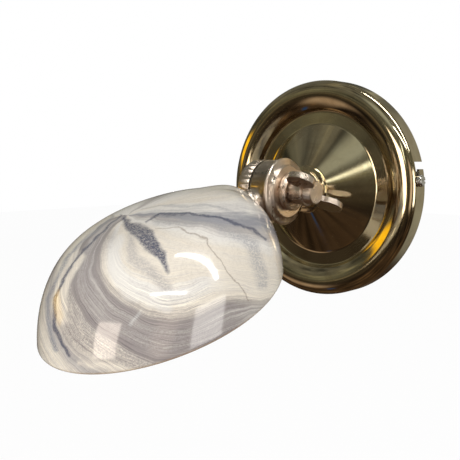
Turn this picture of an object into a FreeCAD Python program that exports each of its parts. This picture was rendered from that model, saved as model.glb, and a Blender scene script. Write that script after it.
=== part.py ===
# Shell wall sconce: a round stepped cover on a wall bracket, a serrated knuckle clamped by
# a thumb screw, and a glazed shell shade with its lampholder and lamp.
# Frame: +Z up, wall plane at y = 0, the light stands out from the wall towards -Y, and the
# origin is the middle of the wall fixing on that plane. All lengths are in millimetres.
import FreeCAD
import Part
import Sketcher
import math
import os
from FreeCAD import Placement, Rotation, Vector

# name, value, what it is
SIZES = [
    ("cover_radius", 60.0, "outer radius of the round cover"),
    ("cover_depth", 13.0, "crest of the cover's rim above the wall"),
    ("cover_wall", 1.2, "thickness of the spun cover"),
    ("shoulder_round", 4.5, "rounding of the cover's outer shoulder"),
    ("crest_radius", 54.5, "radius of the inner edge of the crest"),
    ("rise_radius", 45.0, "radius of the step's top edge"),
    ("rise_depth", 9.9, "height of the step's top edge"),
    ("valley_radius", 42.3, "radius of the lowest line of the flat"),
    ("valley_depth", 7.4, "height of the flat's lowest line"),
    ("valley_width", 1.2, "width of the lowest line"),
    ("crest_round", 5.0, "rounding of the crest's inner edge"),
    ("cone_radius", 36.2, "radius of the cone's foot"),
    ("cone_foot_depth", 8.3, "height of the cone's foot"),
    ("cone_top_depth", 20.5, "height of the flat at the cone's top"),
    ("collar_radius", 13.0, "radius of the collar on the cone's top"),
    ("collar_step_radius", 10.5, "radius of the collar's middle step"),
    ("collar_tip_radius", 8.8, "radius of the collar's last step"),
    ("collar_length", 5.6, "length of the collar along its axis"),
    ("edge_break", 0.4, "bevel on the small turned edges"),
    ("spigot_radius", 5.0, "radius of the hollow threaded spigots"),
    ("spigot_clearance", 0.25, "radial clearance of a hole round a spigot"),
    ("wire_radius", 2.6, "radius of the wire way through the necks"),
    ("wire_lift", 3.6, "shift of the wire way where it enters the knuckle"),
    ("slot_width", 3.6, "width of the bayonet slot"),
    ("slot_height", 6.8, "height of the slot's run above the wall"),
    ("screw_angle", 5.0, "angle of the side screw above the middle line"),
    ("twist_angle", 7.6, "twist that frees the cover from its screws"),
    ("slot_ease", 0.1, "extra width of the slot's mouth on each side"),
    ("slot_reach", 9.0, "how far in from the rim the slot is cut"),
    ("bracket_width", 20.0, "width of the bracket's strap"),
    ("bracket_wall", 1.5, "thickness of the bracket's steel"),
    ("bracket_gap", 1.4, "gap from the bracket's ends to the cover"),
    ("tab_height", 9.4, "height of the bracket's turned-up ends"),
    ("fixing_spacing", 60.0, "distance between the two wall slots"),
    ("fixing_slot_radius", 2.25, "half width of a wall slot"),
    ("fixing_slot_length", 9.0, "end to end length of a wall slot"),
    ("entry_radius", 6.0, "radius of the cable entry hole"),
    ("side_screw_radius", 1.6, "shank radius of a side screw"),
    ("side_screw_head", 3.1, "head radius of a side screw"),
    ("side_screw_head_height", 2.4, "head height of a side screw"),
    ("side_screw_length", 7.5, "length of a side screw's shank"),
    ("earth_screw_radius", 2.0, "shank radius of the earth screw"),
    ("earth_offset", 15.0, "earth screw's distance from the middle"),
    ("block_width", 13.0, "terminal block along the strap"),
    ("block_length", 17.0, "terminal block across the strap"),
    ("block_depth", 10.5, "terminal block's height off the strap"),
    ("block_offset", 14.5, "terminal block's distance from the middle"),
    ("knuckle_reach", 55.0, "knuckle axis in front of the wall"),
    ("knuckle_radius", 16.0, "outer radius of the knuckle"),
    ("cavity_radius", 12.4, "radius of the hollow in the knuckle"),
    ("fixed_width", 8.5, "width of the fixed half from the seam"),
    ("moving_width", 9.0, "plain width of the moving half"),
    ("end_wall", 2.8, "thickness of each half's end wall"),
    ("end_bevel", 1.5, "softened edge of the fixed half's end"),
    ("boss_radius", 5.2, "radius of the threaded boss in the fixed half"),
    ("bead_radius", 17.0, "radius of the bead on the moving half"),
    ("bead_width", 2.2, "width of the bead"),
    ("step_radius", 13.6, "radius of the step outside the bead"),
    ("step_width", 1.9, "width of the step"),
    ("tooth_count", 36.0, "number of teeth round the knuckle's seam"),
    ("tooth_depth", 0.75, "depth of a tooth at the outer radius"),
    ("tip_gap", 0.12, "gap between the tooth tips when slack"),
    ("mesh_gap", 0.02, "gap left between meshed teeth"),
    ("neck_radius", 7.0, "radius of each half's neck"),
    ("neck_clearance", 0.5, "gap from a neck to the other half"),
    ("tilt_rest", 20.0, "angle of the shade's stem below level"),
    ("bolt_radius", 3.0, "radius of the clamping bolt"),
    ("bolt_clearance", 0.06, "radial clearance of the bolt's thread"),
    ("bolt_hole_clearance", 0.3, "radial clearance of the bolt's plain holes"),
    ("bolt_depth", 5.9, "reach of the bolt past the seam"),
    ("slack", 0.05, "gap between faces that turn on each other"),
    ("washer_radius", 9.6, "radius of the recessed pressure washer"),
    ("washer_width", 3.4, "width of the pressure washer"),
    ("washer_recess", 7.3, "radius of the washer's recess"),
    ("washer_floor", 1.4, "floor of the washer under its recess"),
    ("shank_radius", 6.1, "radius of the thumb screw's shank"),
    ("shank_length", 8.9, "length of the thumb screw's shank"),
    ("thumb_collar_radius", 7.0, "radius of the thumb screw's collar"),
    ("thumb_collar_width", 1.3, "width of the thumb screw's collar"),
    ("ear_place", 29.0, "ear centres along the axis from the seam"),
    ("ear_spread", 14.0, "ear centres out from the axis"),
    ("ear_radius", 6.8, "radius of each ear"),
    ("ear_thickness", 2.8, "thickness of the ears"),
    ("ear_angle", 27.0, "rise of the upper ear above level"),
    ("neck_length", 24.3, "end of the moving neck from the knuckle axis"),
    ("cup_radius", 11.2, "radius of the cup behind the shade"),
    ("cup_wall", 1.2, "thickness of the cup"),
    ("seal_thickness", 0.8, "thickness of the fibre washers"),
    ("land_radius", 12.0, "radius of the flat land on the shade"),
    ("land_thickness", 4.4, "shade's thickness at the land"),
    ("nut_thickness", 3.2, "thickness of the spigot nuts"),
    ("nut_flats", 14.0, "width of the spigot nuts over the flats"),
    ("shade_half_length", 59.0, "half length of the shade's mouth"),
    ("shade_half_width", 52.3, "half width of the shade's mouth"),
    ("shade_height", 38.2, "height of the shade over its mouth"),
    ("shade_lean", 11.4, "how far the crown leans to the wall"),
    ("shade_fullness", 4.17, "power that makes the sides full"),
    ("shade_wall", 3.0, "thickness of the shade"),
    ("shade_setback", 4.6, "mouth's near end past the end of the neck"),
    ("shade_drop", 17.5, "mouth below the stem's line"),
    ("holder_radius", 12.5, "radius of the lampholder"),
    ("holder_waist_radius", 8.5, "radius at the foot of the lampholder's cap"),
    ("holder_clearance", 0.5, "least gap from the lampholder's cap to the shade"),
    ("holder_skirt_radius", 11.6, "radius of the lampholder's skirt"),
    ("holder_cap_length", 12.6, "length of the lampholder's cap"),
    ("holder_body_length", 26.8, "length of the lampholder's body"),
    ("holder_wall", 1.4, "wall of the lampholder's cap"),
    ("holder_shoulder", 7.0, "length of the cap's sloped shoulder"),
    ("holder_floor", 8.0, "floor of the lampholder's well above its foot"),
    ("well_clearance", 0.75, "gap round the lamp's cap in the well"),
    ("liner_wall", 0.55, "thickness of the brass liner"),
    ("liner_inset", 2.0, "liner's end inside the holder's mouth"),
    ("contact_radius", 3.6, "radius of the centre contact"),
    ("contact_height", 1.2, "height of the centre contact"),
    ("lamp_cap_radius", 7.2, "radius of the lamp's screw cap"),
    ("lamp_radius", 13.8, "largest radius of the lamp's glass"),
    ("lamp_glass_length", 38.0, "length of the lamp's glass"),
]

doc = FreeCAD.newDocument("sconce")
sheet = doc.addObject("Spreadsheet::Sheet", "Sizes")


class Size:
    """A length with its value and the sheet expression that gives it."""

    def __init__(self, value, text):
        self.value = value
        self.text = text

    def __float__(self):
        return self.value

    def __neg__(self):
        return Size(-self.value, "(-" + self.text + ")")

    def __add__(self, other):
        other = as_size(other)
        return Size(self.value + other.value, "(" + self.text + " + " + other.text + ")")

    def __sub__(self, other):
        other = as_size(other)
        return Size(self.value - other.value, "(" + self.text + " - " + other.text + ")")

    def __mul__(self, other):
        other = as_size(other)
        return Size(self.value * other.value, "(" + self.text + " * " + other.text + ")")

    def __truediv__(self, other):
        other = as_size(other)
        return Size(self.value / other.value, "(" + self.text + " / " + other.text + ")")

    __radd__ = __add__

    def __rsub__(self, other):
        return as_size(other) - self


def as_size(number):
    """Wraps a plain number, so that it can be mixed with sheet lengths."""
    if isinstance(number, Size):
        return number
    return Size(float(number), repr(float(number)))


class Sheet:
    """Gives each named size of the sheet as an attribute."""


def fill_sheet():
    """Writes the sizes into the spreadsheet and returns them by name."""
    named = Sheet()
    for row, (name, value, note) in enumerate(SIZES, start=1):
        sheet.set("A%d" % row, name)
        sheet.set("B%d" % row, str(value))
        sheet.set("C%d" % row, note)
        sheet.setAlias("B%d" % row, name)
        setattr(named, name, Size(value, "Sizes." + name))
    doc.recompute()
    return named


S = fill_sheet()


# ---- places derived from the sizes ------------------------------------------------------

def facing(base, tilt):
    """Placement whose local z points away from the wall, lowered by tilt degrees."""
    return Placement(base, Rotation(Vector(1, 0, 0), 90 + tilt))


def along(base, x_way, z_way):
    """Placement whose local x and z point in the given ways."""
    return Placement(base, Rotation(x_way, z_way.cross(x_way), z_way, "ZXY"))


AXIS_X = Vector(1, 0, 0)
AXIS_Z = Vector(0, 0, 1)
WALL = Vector(0, 0, 0)
KNUCKLE = Vector(0, -float(S.knuckle_reach), 0)
TILT = float(S.tilt_rest)
STEM_WAY = Vector(0, -math.cos(math.radians(TILT)), -math.sin(math.radians(TILT)))
SHADE_UP = STEM_WAY.cross(AXIS_X)
ON_WALL = facing(WALL, 0)
ON_STEM = facing(KNUCKLE, TILT)
FIXED_HALF = along(KNUCKLE, AXIS_Z, -AXIS_X)
MOVING_HALF = along(KNUCKLE, STEM_WAY.cross(AXIS_X), AXIS_X)

# along the knuckle axis, from the seam outwards on the moving side
BEAD_END = S.moving_width + S.bead_width
STEP_END = BEAD_END + S.step_width
WASHER_START = STEP_END + S.slack
WASHER_END = WASHER_START + S.washer_width
SHANK_START = WASHER_START + S.washer_floor + S.slack
SHANK_END = SHANK_START + S.shank_length
CLAMP_TRAVEL = S.tip_gap + S.tooth_depth - S.mesh_gap
# along the stem, from the knuckle axis towards the shade
CUP_START = S.neck_length
SEAL_START = CUP_START + S.cup_wall
LAND_OUT = SEAL_START + S.seal_thickness
LAND_IN = LAND_OUT + S.land_thickness
SHADE_REACH = S.neck_length + S.shade_setback + S.shade_half_length
SHADE_NUT_START = LAND_IN + S.seal_thickness
HOLDER_START = SHADE_NUT_START + S.nut_thickness + S.slack
HOLDER_BODY = HOLDER_START + S.holder_cap_length
HOLDER_MOUTH = HOLDER_BODY + S.holder_body_length
WELL_FLOOR = HOLDER_BODY + S.slack + S.holder_floor
LAMP_START = WELL_FLOOR + S.contact_height + S.slack
LAMP_FOOT = HOLDER_MOUTH + S.holder_wall
# away from the wall, on the cover's axis
COLLAR_END = S.cone_top_depth + S.collar_length
COVER_BACK = S.cone_top_depth - S.cover_wall
ARM_NUT_BACK = COVER_BACK - S.seal_thickness - S.nut_thickness
# radii
SPIGOT_HOLE = S.spigot_radius + S.spigot_clearance
HALF_PITCH = math.pi / float(S.tooth_count)


# ---- building helpers -------------------------------------------------------------------

def new_body(label, placement):
    """Adds an empty body under its node name."""
    body = doc.addObject("PartDesign::Body", label)
    body.Label = label
    body.Placement = placement
    return body


def plane_of(body, role):
    """Finds one of the body's own origin planes."""
    return [item for item in body.Origin.OriginFeatures if item.Role == role][0]


def new_sketch(body, role, lift=0.0):
    """Attaches a sketch to an origin plane of the body, lifted along the plane's normal."""
    sketch = body.newObject("Sketcher::SketchObject", body.Label + "_sketch")
    sketch.AttachmentSupport = [(plane_of(body, role), "")]
    sketch.MapMode = "FlatFace"
    lift = as_size(lift)
    sketch.AttachmentOffset = Placement(Vector(0, 0, lift.value), Rotation())
    if "Sizes" in lift.text:
        sketch.setExpression(".AttachmentOffset.Base.z", lift.text)
    return sketch


def pin_down(sketch, kind, geometry, point, size):
    """Holds one coordinate of a sketch point at a size of the sheet."""
    size = as_size(size)
    place = sketch.addConstraint(Sketcher.Constraint(kind, -1, 1, geometry, point, size.value))
    if "Sizes" in size.text:
        sketch.setExpression("Constraints[%d]" % place, size.text)


def draw_outline(sketch, corners):
    """Draws a closed outline of straight lines whose corners are held by sizes."""
    corners = [(as_size(across), as_size(up)) for across, up in corners]
    spots = [Vector(across.value, up.value, 0) for across, up in corners]
    first = sketch.GeometryCount
    count = len(corners)
    for index in range(count):
        sketch.addGeometry(Part.LineSegment(spots[index], spots[(index + 1) % count]), False)
    for index in range(count):
        after = first + (index + 1) % count
        sketch.addConstraint(Sketcher.Constraint("Coincident", first + index, 2, after, 1))
    for index, (across, up) in enumerate(corners):
        pin_down(sketch, "DistanceX", first + index, 1, across)
        pin_down(sketch, "DistanceY", first + index, 1, up)


def draw_circle(sketch, across, up, radius):
    """Draws a circle whose middle and radius are held by sizes."""
    across, up, radius = as_size(across), as_size(up), as_size(radius)
    middle = Vector(across.value, up.value, 0)
    ring = sketch.addGeometry(Part.Circle(middle, AXIS_Z, radius.value), False)
    place = sketch.addConstraint(Sketcher.Constraint("Radius", ring, radius.value))
    sketch.setExpression("Constraints[%d]" % place, radius.text)
    pin_down(sketch, "DistanceX", ring, 3, across)
    pin_down(sketch, "DistanceY", ring, 3, up)


def turn(body, corners, cut=False):
    """Turns an outline of (radius, height) corners about the body's own z axis."""
    sketch = new_sketch(body, "XZ_Plane")
    draw_outline(sketch, corners)
    kind = "PartDesign::Groove" if cut else "PartDesign::Revolution"
    feature = body.newObject(kind, body.Label + "_turned")
    feature.Profile = sketch
    feature.ReferenceAxis = (sketch, ["V_Axis"])
    feature.Angle = 360
    doc.recompute()
    return feature


def extrude(body, sketch, length, cut=False, back=False, both_ways=False):
    """Pads or pockets a sketch by a size."""
    kind = "PartDesign::Pocket" if cut else "PartDesign::Pad"
    feature = body.newObject(kind, body.Label + "_extruded")
    feature.Profile = sketch
    length = as_size(length)
    feature.Length = length.value
    if "Sizes" in length.text:
        feature.setExpression("Length", length.text)
    feature.Reversed = back
    feature.Midplane = both_ways
    doc.recompute()
    return feature


def ring_edges(feature, rings):
    """Names the circular edges of a feature at the given (radius, height) pairs."""
    names = []
    for index, edge in enumerate(feature.Shape.Edges, start=1):
        if not isinstance(edge.Curve, Part.Circle):
            continue
        spot = edge.Curve.Center
        for radius, height in rings:
            near = abs(edge.Curve.Radius - float(radius)) < 0.01
            if near and abs(spot.z - float(height)) < 0.01 and math.hypot(spot.x, spot.y) < 0.01:
                names.append("Edge%d" % index)
    return names


def soften(body, feature, rings, radius, chamfer=False):
    """Rounds or chamfers turned edges, found by their radius and height."""
    names = ring_edges(feature, rings)
    if len(names) < len(rings):
        raise ValueError(body.Label + ": an edge to soften is missing")
    kind = "PartDesign::Chamfer" if chamfer else "PartDesign::Fillet"
    softened = body.newObject(kind, body.Label + "_softened")
    softened.Base = (feature, names)
    radius = as_size(radius)
    size_name = "Size" if chamfer else "Radius"
    setattr(softened, size_name, radius.value)
    softened.setExpression(size_name, radius.text)
    doc.recompute()
    return softened


def shaped(body, kind, base, way, sizes):
    """Adds a primitive to the body, with its own z axis along the given way."""
    feature = body.newObject("PartDesign::" + kind, body.Label + "_" + kind)
    feature.Placement = Placement(base, Rotation(AXIS_Z, way))
    for name, size in sizes.items():
        size = as_size(size)
        setattr(feature, name, size.value)
        if "Sizes" in size.text:
            feature.setExpression(name, size.text)
    body.Tip = feature
    doc.recompute()
    return feature


def bore(body, base, way, radius, length):
    """Drills a round hole and checks that it removed material."""
    before = body.Shape.Volume
    feature = shaped(body, "SubtractiveCylinder", base, way, {"Radius": radius, "Height": length})
    if not body.Shape.Volume < before - 0.01:
        raise ValueError(body.Label + ": a hole cut nothing")
    return feature


def post(body, base, way, radius, length):
    """Adds a round post."""
    return shaped(body, "AdditiveCylinder", base, way, {"Radius": radius, "Height": length})


def ways(across, up, out):
    """Shortens the writing of a point whose coordinates may be sizes."""
    return Vector(float(across), float(up), float(out))


# ---- the bracket and what it carries ----------------------------------------------------

def bracket_reach():
    """Distance from the middle to the outer face of a turned-up end."""
    return S.cover_radius - S.cover_wall - S.bracket_gap


def screw_way(side):
    """Direction of a side screw, in the local frame of what stands on the wall."""
    angle = math.radians(float(S.screw_angle))
    return Vector(side * math.cos(angle), side * math.sin(angle), 0)


def make_bracket():
    """Steel strap on the wall with turned-up ends for the side screws."""
    body = new_body("wall_bracket", ON_WALL)
    reach = bracket_reach()
    inside = reach - S.bracket_wall
    sketch = new_sketch(body, "XZ_Plane")
    draw_outline(sketch, [
        (-reach, 0), (reach, 0), (reach, S.tab_height), (inside, S.tab_height),
        (inside, S.bracket_wall), (-inside, S.bracket_wall), (-inside, S.tab_height),
        (-reach, S.tab_height)])
    extrude(body, sketch, S.bracket_width, both_ways=True)
    deep = S.bracket_wall * 2
    bore(body, ways(0, 0, -0.5), AXIS_Z, S.entry_radius, deep)
    bore(body, ways(-S.earth_offset, 0, -0.5), AXIS_Z, S.earth_screw_radius + S.slack, deep)
    bore(body, ways(S.block_offset, 0, -0.5), AXIS_Z, BLOCK_SCREW_RADIUS + 0.05, deep)
    straight = S.fixing_slot_length / 2 - S.fixing_slot_radius
    for side in (-1, 1):
        middle = S.fixing_spacing * (side / 2)
        for end in (middle - straight, middle + straight):
            bore(body, ways(end, 0, -0.5), AXIS_Z, S.fixing_slot_radius, deep)
        corner = ways(middle - straight, -S.fixing_slot_radius, -0.5)
        shaped(body, "SubtractiveBox", corner, AXIS_Z, {
            "Length": straight * 2, "Width": S.fixing_slot_radius * 2, "Height": deep})
        way = screw_way(side)
        start = way * (float(inside) - 2)
        bore(body, ways(start.x, start.y, S.slot_height), way,
             S.side_screw_radius + S.slack, S.bracket_wall + 4)
    return body


def slotted_screw(seat, way, shank, length, head, height):
    """Screw whose head stands on the seat and whose shank reaches back from it."""
    stem = Part.makeCylinder(shank, length, seat - way * length, way)
    cap = Part.makeCylinder(head, height, seat, way)
    rim = [edge for edge in cap.Edges if isinstance(edge.Curve, Part.Circle)
           and (edge.Curve.Center - seat).dot(way) > height / 2]
    cap = cap.makeChamfer(height * 0.25, rim).Solids[0]
    slot_width = head * 0.26
    slot = Part.makeBox(head * 2.4, slot_width, height, Vector(-head * 1.2, -slot_width / 2, 0))
    slot.Placement = Placement(seat + way * (height * 0.55), Rotation(AXIS_Z, way))
    return stem.fuse(cap).cut(slot).removeSplitter().Solids[0]


def make_side_screws():
    """Two cheese-head screws that hold the cover in its bayonet slots."""
    screws = []
    for side in (-1, 1):
        way = screw_way(side)
        seat = way * (float(S.cover_radius) + 0.3) + Vector(0, 0, float(S.slot_height))
        screws.append(slotted_screw(
            seat, way, float(S.side_screw_radius), float(S.side_screw_length),
            float(S.side_screw_head), float(S.side_screw_head_height)))
    return group_of("side_screws", screws, ON_WALL)


def group_of(label, shapes, placement):
    """One node that holds separate solids."""
    node = doc.addObject("Part::Feature", label)
    node.Label = label
    node.Shape = Part.makeCompound([solid for shape in shapes for solid in shape.Solids])
    node.Placement = placement
    return node


def block_middle():
    """Middle of the terminal block's foot on the strap."""
    return Vector(float(S.block_offset), 0, float(S.bracket_wall))


def pole_places():
    """Middles of the two poles of the terminal block, across the strap."""
    shift = float(S.block_length) / 4
    return [Vector(float(S.block_offset), side * shift, 0) for side in (-1, 1)]


INSERT_RADIUS = 2.3
INSERT_BORE = 1.5
INSERT_HEIGHT = 4.6
CLAMP_RADIUS = 1.3
BLOCK_SCREW_RADIUS = 1.25
BLOCK_SCREW_HEAD = 1.9


def make_terminal_block():
    """Two-pole block with raised towers over its clamping screws."""
    body = new_body("terminal_block", ON_WALL)
    foot = block_middle()
    half_wide, half_long = S.block_width / 2, S.block_length / 2
    corner = foot - Vector(half_wide.value, half_long.value, 0)
    shaped(body, "AdditiveBox", corner, AXIS_Z, {
        "Length": S.block_width, "Width": S.block_length, "Height": S.block_depth * 0.7})
    for place in pole_places():
        post(body, place + Vector(0, 0, foot.z), AXIS_Z, S.block_length / 4 - 0.6, S.block_depth)
    for place in pole_places():
        start = place + Vector(-half_wide.value - 1, 0, foot.z + INSERT_HEIGHT)
        bore(body, start, AXIS_X, INSERT_RADIUS + 0.05, S.block_width + 2)
        bore(body, place + Vector(0, 0, foot.z + INSERT_HEIGHT), AXIS_Z, 1.9, S.block_depth)
    bore(body, foot - Vector(0, 0, 1), AXIS_Z, BLOCK_SCREW_RADIUS + 0.1, S.block_depth * 2)
    seat = foot + Vector(0, 0, float(S.block_depth) * 0.7)
    bore(body, seat, AXIS_Z, BLOCK_SCREW_HEAD + 0.2, S.block_depth)
    return body


def make_terminal_inserts():
    """Brass tubes that take the wires, one in each pole."""
    inserts = []
    for place in pole_places():
        height = float(S.bracket_wall) + INSERT_HEIGHT
        length = float(S.block_width) - 1
        start = place + Vector(-length / 2, 0, height)
        tube = Part.makeCylinder(INSERT_RADIUS, length, start, AXIS_X)
        tube = tube.cut(Part.makeCylinder(INSERT_BORE, length, start, AXIS_X))
        spot = place + Vector(0, 0, height)
        tube = tube.cut(Part.makeCylinder(CLAMP_RADIUS + 0.05, 4, spot, AXIS_Z))
        inserts.append(tube)
    return group_of("terminal_inserts", inserts, ON_WALL)


def make_terminal_screws():
    """The clamping screw in each pole."""
    screws = []
    for place in pole_places():
        seat = place + Vector(0, 0, float(S.bracket_wall) + INSERT_HEIGHT + 3.4)
        screws.append(slotted_screw(seat, AXIS_Z, CLAMP_RADIUS, 3.0, 1.75, 1.6))
    return group_of("terminal_screws", screws, ON_WALL)


def make_block_screw():
    """Screw that holds the terminal block to the strap."""
    grip = float(S.block_depth) * 0.7
    seat = block_middle() + Vector(0, 0, grip)
    reach = grip + float(S.bracket_wall) - 0.2
    screw = slotted_screw(seat, AXIS_Z, BLOCK_SCREW_RADIUS, reach, BLOCK_SCREW_HEAD, 1.4)
    return group_of("terminal_block_screw", [screw], ON_WALL)


EARTH_WASHER = 0.8


def make_earth_screw():
    """Earth screw through its washer into the strap."""
    seat = ways(-S.earth_offset, 0, S.bracket_wall + EARTH_WASHER)
    length = seat.z - 0.1
    screw = slotted_screw(seat, AXIS_Z, float(S.earth_screw_radius), length, 3.9, 2.4)
    return group_of("earth_screw", [screw], ON_WALL)


def make_earth_washer():
    """Plain washer under the earth screw's head, resting on the strap."""
    body = new_body("earth_washer", ON_WALL)
    spot = ways(-S.earth_offset, 0, S.bracket_wall)
    post(body, spot, AXIS_Z, 4.4, EARTH_WASHER)
    bore(body, spot - Vector(0, 0, 1), AXIS_Z, S.earth_screw_radius + 0.15, 6)
    return body


# ---- the cover and the arm --------------------------------------------------------------

def make_cover():
    """Spun cover: rounded rim, step down to a flat ring, and a cone up to the collar."""
    body = new_body("cover", ON_WALL)
    wall = S.cover_wall
    hole = SPIGOT_HOLE
    inner = S.cover_radius - wall
    crest = S.cover_depth
    outside = [
        (S.cover_radius, 0), (S.cover_radius, crest), (S.crest_radius, crest),
        (S.rise_radius, S.rise_depth),
        (S.valley_radius + S.valley_width, S.valley_depth), (S.valley_radius, S.valley_depth),
        (S.cone_radius, S.cone_foot_depth), (S.collar_radius, S.cone_top_depth),
        (hole, S.cone_top_depth)]
    inside = [
        (hole, S.cone_top_depth - wall), (S.collar_radius - wall / 3, S.cone_top_depth - wall),
        (S.cone_radius - wall / 4, S.cone_foot_depth - wall * 1.1),
        (S.valley_radius + S.valley_width + wall * 0.57, S.valley_depth - wall),
        (S.rise_radius + wall * 0.67, S.rise_depth - wall * 0.83),
        (S.crest_radius + wall / 6, crest - wall), (inner, crest - wall), (inner, 0)]
    shell = turn(body, outside + inside)
    shoulder = soften(body, shell, [(S.cover_radius, crest)], S.shoulder_round)
    shoulder = soften(body, shoulder, [(inner, crest - wall)], S.shoulder_round * 0.45, True)
    shoulder = soften(body, shoulder, [(S.crest_radius, crest)], S.crest_round)
    soften(body, shoulder, [(S.rise_radius, S.rise_depth)], S.crest_round / 3)
    cut_bayonet(body)
    return body


def cut_bayonet(body):
    """L-shaped slots in the rim: straight in from the wall edge, then round to the screw."""
    half = S.slot_width / 2
    start = S.cover_radius - S.slot_reach
    lock = math.radians(float(S.screw_angle))
    entry = math.radians(float(S.screw_angle + S.twist_angle))
    rim = float(S.cover_radius)
    reach = half.value + float(S.slot_ease)
    low = rim * math.sin(lock) - reach
    mouth = rim * math.sin(entry) - reach
    high = rim * math.sin(entry) + reach
    sketch = new_sketch(body, "YZ_Plane", start)
    draw_outline(sketch, [
        (mouth, -1), (high, -1), (high, S.slot_height + half), (low, S.slot_height + half),
        (low, S.slot_height - half), (mouth, S.slot_height - half)])
    before = body.Shape.Volume
    pocket = extrude(body, sketch, S.slot_reach + 4, cut=True, back=True)
    body.Tip = pocket
    pattern = body.newObject("PartDesign::PolarPattern", "bayonet_pattern")
    pattern.Originals = [pocket]
    pattern.Axis = (plane_of(body, "Z_Axis"), [""])
    pattern.Angle = 360
    pattern.Occurrences = 2
    body.Tip = pattern
    doc.recompute()
    if not body.Shape.Volume < before - 10:
        raise ValueError("the bayonet slots cut nothing")


def make_collar():
    """Stepped collar between the cone and the arm."""
    body = new_body("arm_collar", ON_WALL)
    foot = S.cone_top_depth
    hole = SPIGOT_HOLE
    ring = turn(body, [
        (hole, foot), (S.collar_radius, foot), (S.collar_radius, foot + 1.6),
        (S.collar_step_radius, foot + 2.3), (S.collar_step_radius, foot + 3.8),
        (S.collar_tip_radius, foot + 4.3), (S.collar_tip_radius, COLLAR_END),
        (hole, COLLAR_END)])
    soften(body, ring, [
        (S.collar_radius, foot + 1.6), (S.collar_step_radius, foot + 3.8),
        (S.collar_tip_radius, COLLAR_END)], S.edge_break, True)
    return body


def ring_node(label, placement, hole, rim, start, thickness):
    """Plain washer about the local z axis."""
    body = new_body(label, placement)
    end = start + thickness
    turn(body, [(hole, start), (rim, start), (rim, end), (hole, end)])
    return body


def nut_node(label, placement, start):
    """Thin hexagon nut on a spigot, with its thread as a plain bore."""
    body = new_body(label, placement)
    corners = S.nut_flats / math.sqrt(3)
    base = ways(0, 0, start)
    prism = shaped(body, "AdditivePrism", base, AXIS_Z, {
        "Circumradius": corners, "Height": S.nut_thickness})
    prism.Polygon = 6
    bore(body, base - Vector(0, 0, 1), AXIS_Z, S.spigot_radius + S.slack, S.nut_thickness + 2)
    return body


# ---- the knuckle ------------------------------------------------------------------------

def tooth_ring(shift):
    """Crown of wedge teeth whose edges all run to one point on the knuckle's axis."""
    rim = float(S.knuckle_radius) * math.cos(HALF_PITCH)
    bore_radius = float(S.cavity_radius)
    middle = (float(S.tip_gap) + float(S.tooth_depth)) / 2
    foot = middle + float(S.tooth_depth) / 2 + 0.6
    sections = []
    for radius in (bore_radius, rim):
        half = radius * math.tan(HALF_PITCH)
        rise = float(S.tooth_depth) / 2 * radius / rim
        points = [
            Vector(-half, radius, foot), Vector(-half, radius, middle + rise),
            Vector(0, radius, middle - rise), Vector(half, radius, middle + rise),
            Vector(half, radius, foot)]
        sections.append(Part.makePolygon(points + points[:1]))
    tooth = Part.makeLoft(sections, True, True)
    teeth = []
    for index in range(int(float(S.tooth_count))):
        turned = tooth.copy()
        turned.rotate(Vector(), AXIS_Z, math.degrees(HALF_PITCH) * (2 * index + shift))
        teeth.append(turned)
    ring = teeth[0].multiFuse(teeth[1:])
    return ring.removeSplitter()


def drum(outline):
    """Turns an outline of (radius, height) corners about the z axis as a plain shape."""
    points = [Vector(float(across), 0, float(up)) for across, up in outline]
    face = Part.Face(Part.makePolygon(points + points[:1]))
    return face.revolve(Vector(), AXIS_Z, 360)


def neck_shape(length, spigot_end):
    """Round neck along local y, cut clear of the other half, with its hollow spigot."""
    way = Vector(0, 1, 0)
    start = float(S.cavity_radius) + 0.8
    neck = Part.makeCylinder(float(S.neck_radius), float(length) - start, way * start, way)
    other = float(S.knuckle_radius) + float(S.neck_clearance)
    root = float(S.tip_gap) / 2 + float(S.tooth_depth)
    clear = Part.makeCylinder(other, 40, Vector(0, 0, root - 40), AXIS_Z)
    neck = neck.cut(clear)
    spigot = Part.makeCylinder(float(S.spigot_radius), float(spigot_end) - float(length) + 1,
                               way * (float(length) - 1), way)
    return neck.fuse(spigot)


def wire_way(end):
    """Bore along the spigot and neck, stepped over into the hollow of the drum."""
    way = Vector(0, 1, 0)
    radius = float(S.wire_radius)
    corner = float(S.knuckle_radius) + float(S.wire_radius)
    straight = Part.makeCylinder(radius, end, way * corner, way)
    inward = float(S.cavity_radius) - 1.5
    step = Part.makeCylinder(radius, corner + radius - inward,
                             Vector(0, inward, float(S.wire_lift)), way)
    return straight.fuse(step)


def knuckle_half(label, placement, outline, shift, length, spigot_end):
    """One half of the knuckle: cupped drum, crown teeth, neck, spigot and wire way."""
    body = drum(outline).fuse(tooth_ring(shift)).fuse(neck_shape(length, spigot_end))
    body = body.cut(wire_way(float(spigot_end)))
    node = doc.addObject("Part::Feature", label)
    node.Label = label
    node.Shape = body.Solids[0]
    node.Placement = placement
    if len(body.Solids) != 1:
        raise ValueError(label + ": the half is in pieces")
    return node


def seam_cone():
    """Foot of the teeth at the drum's inner and outer radius, a little under the valleys."""
    middle = (S.tip_gap + S.tooth_depth) / 2
    outer = middle + S.tooth_depth / 2 + 0.02
    inner = middle + S.tooth_depth / 2 * (S.cavity_radius / S.knuckle_radius) + 0.02
    return inner, outer


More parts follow.
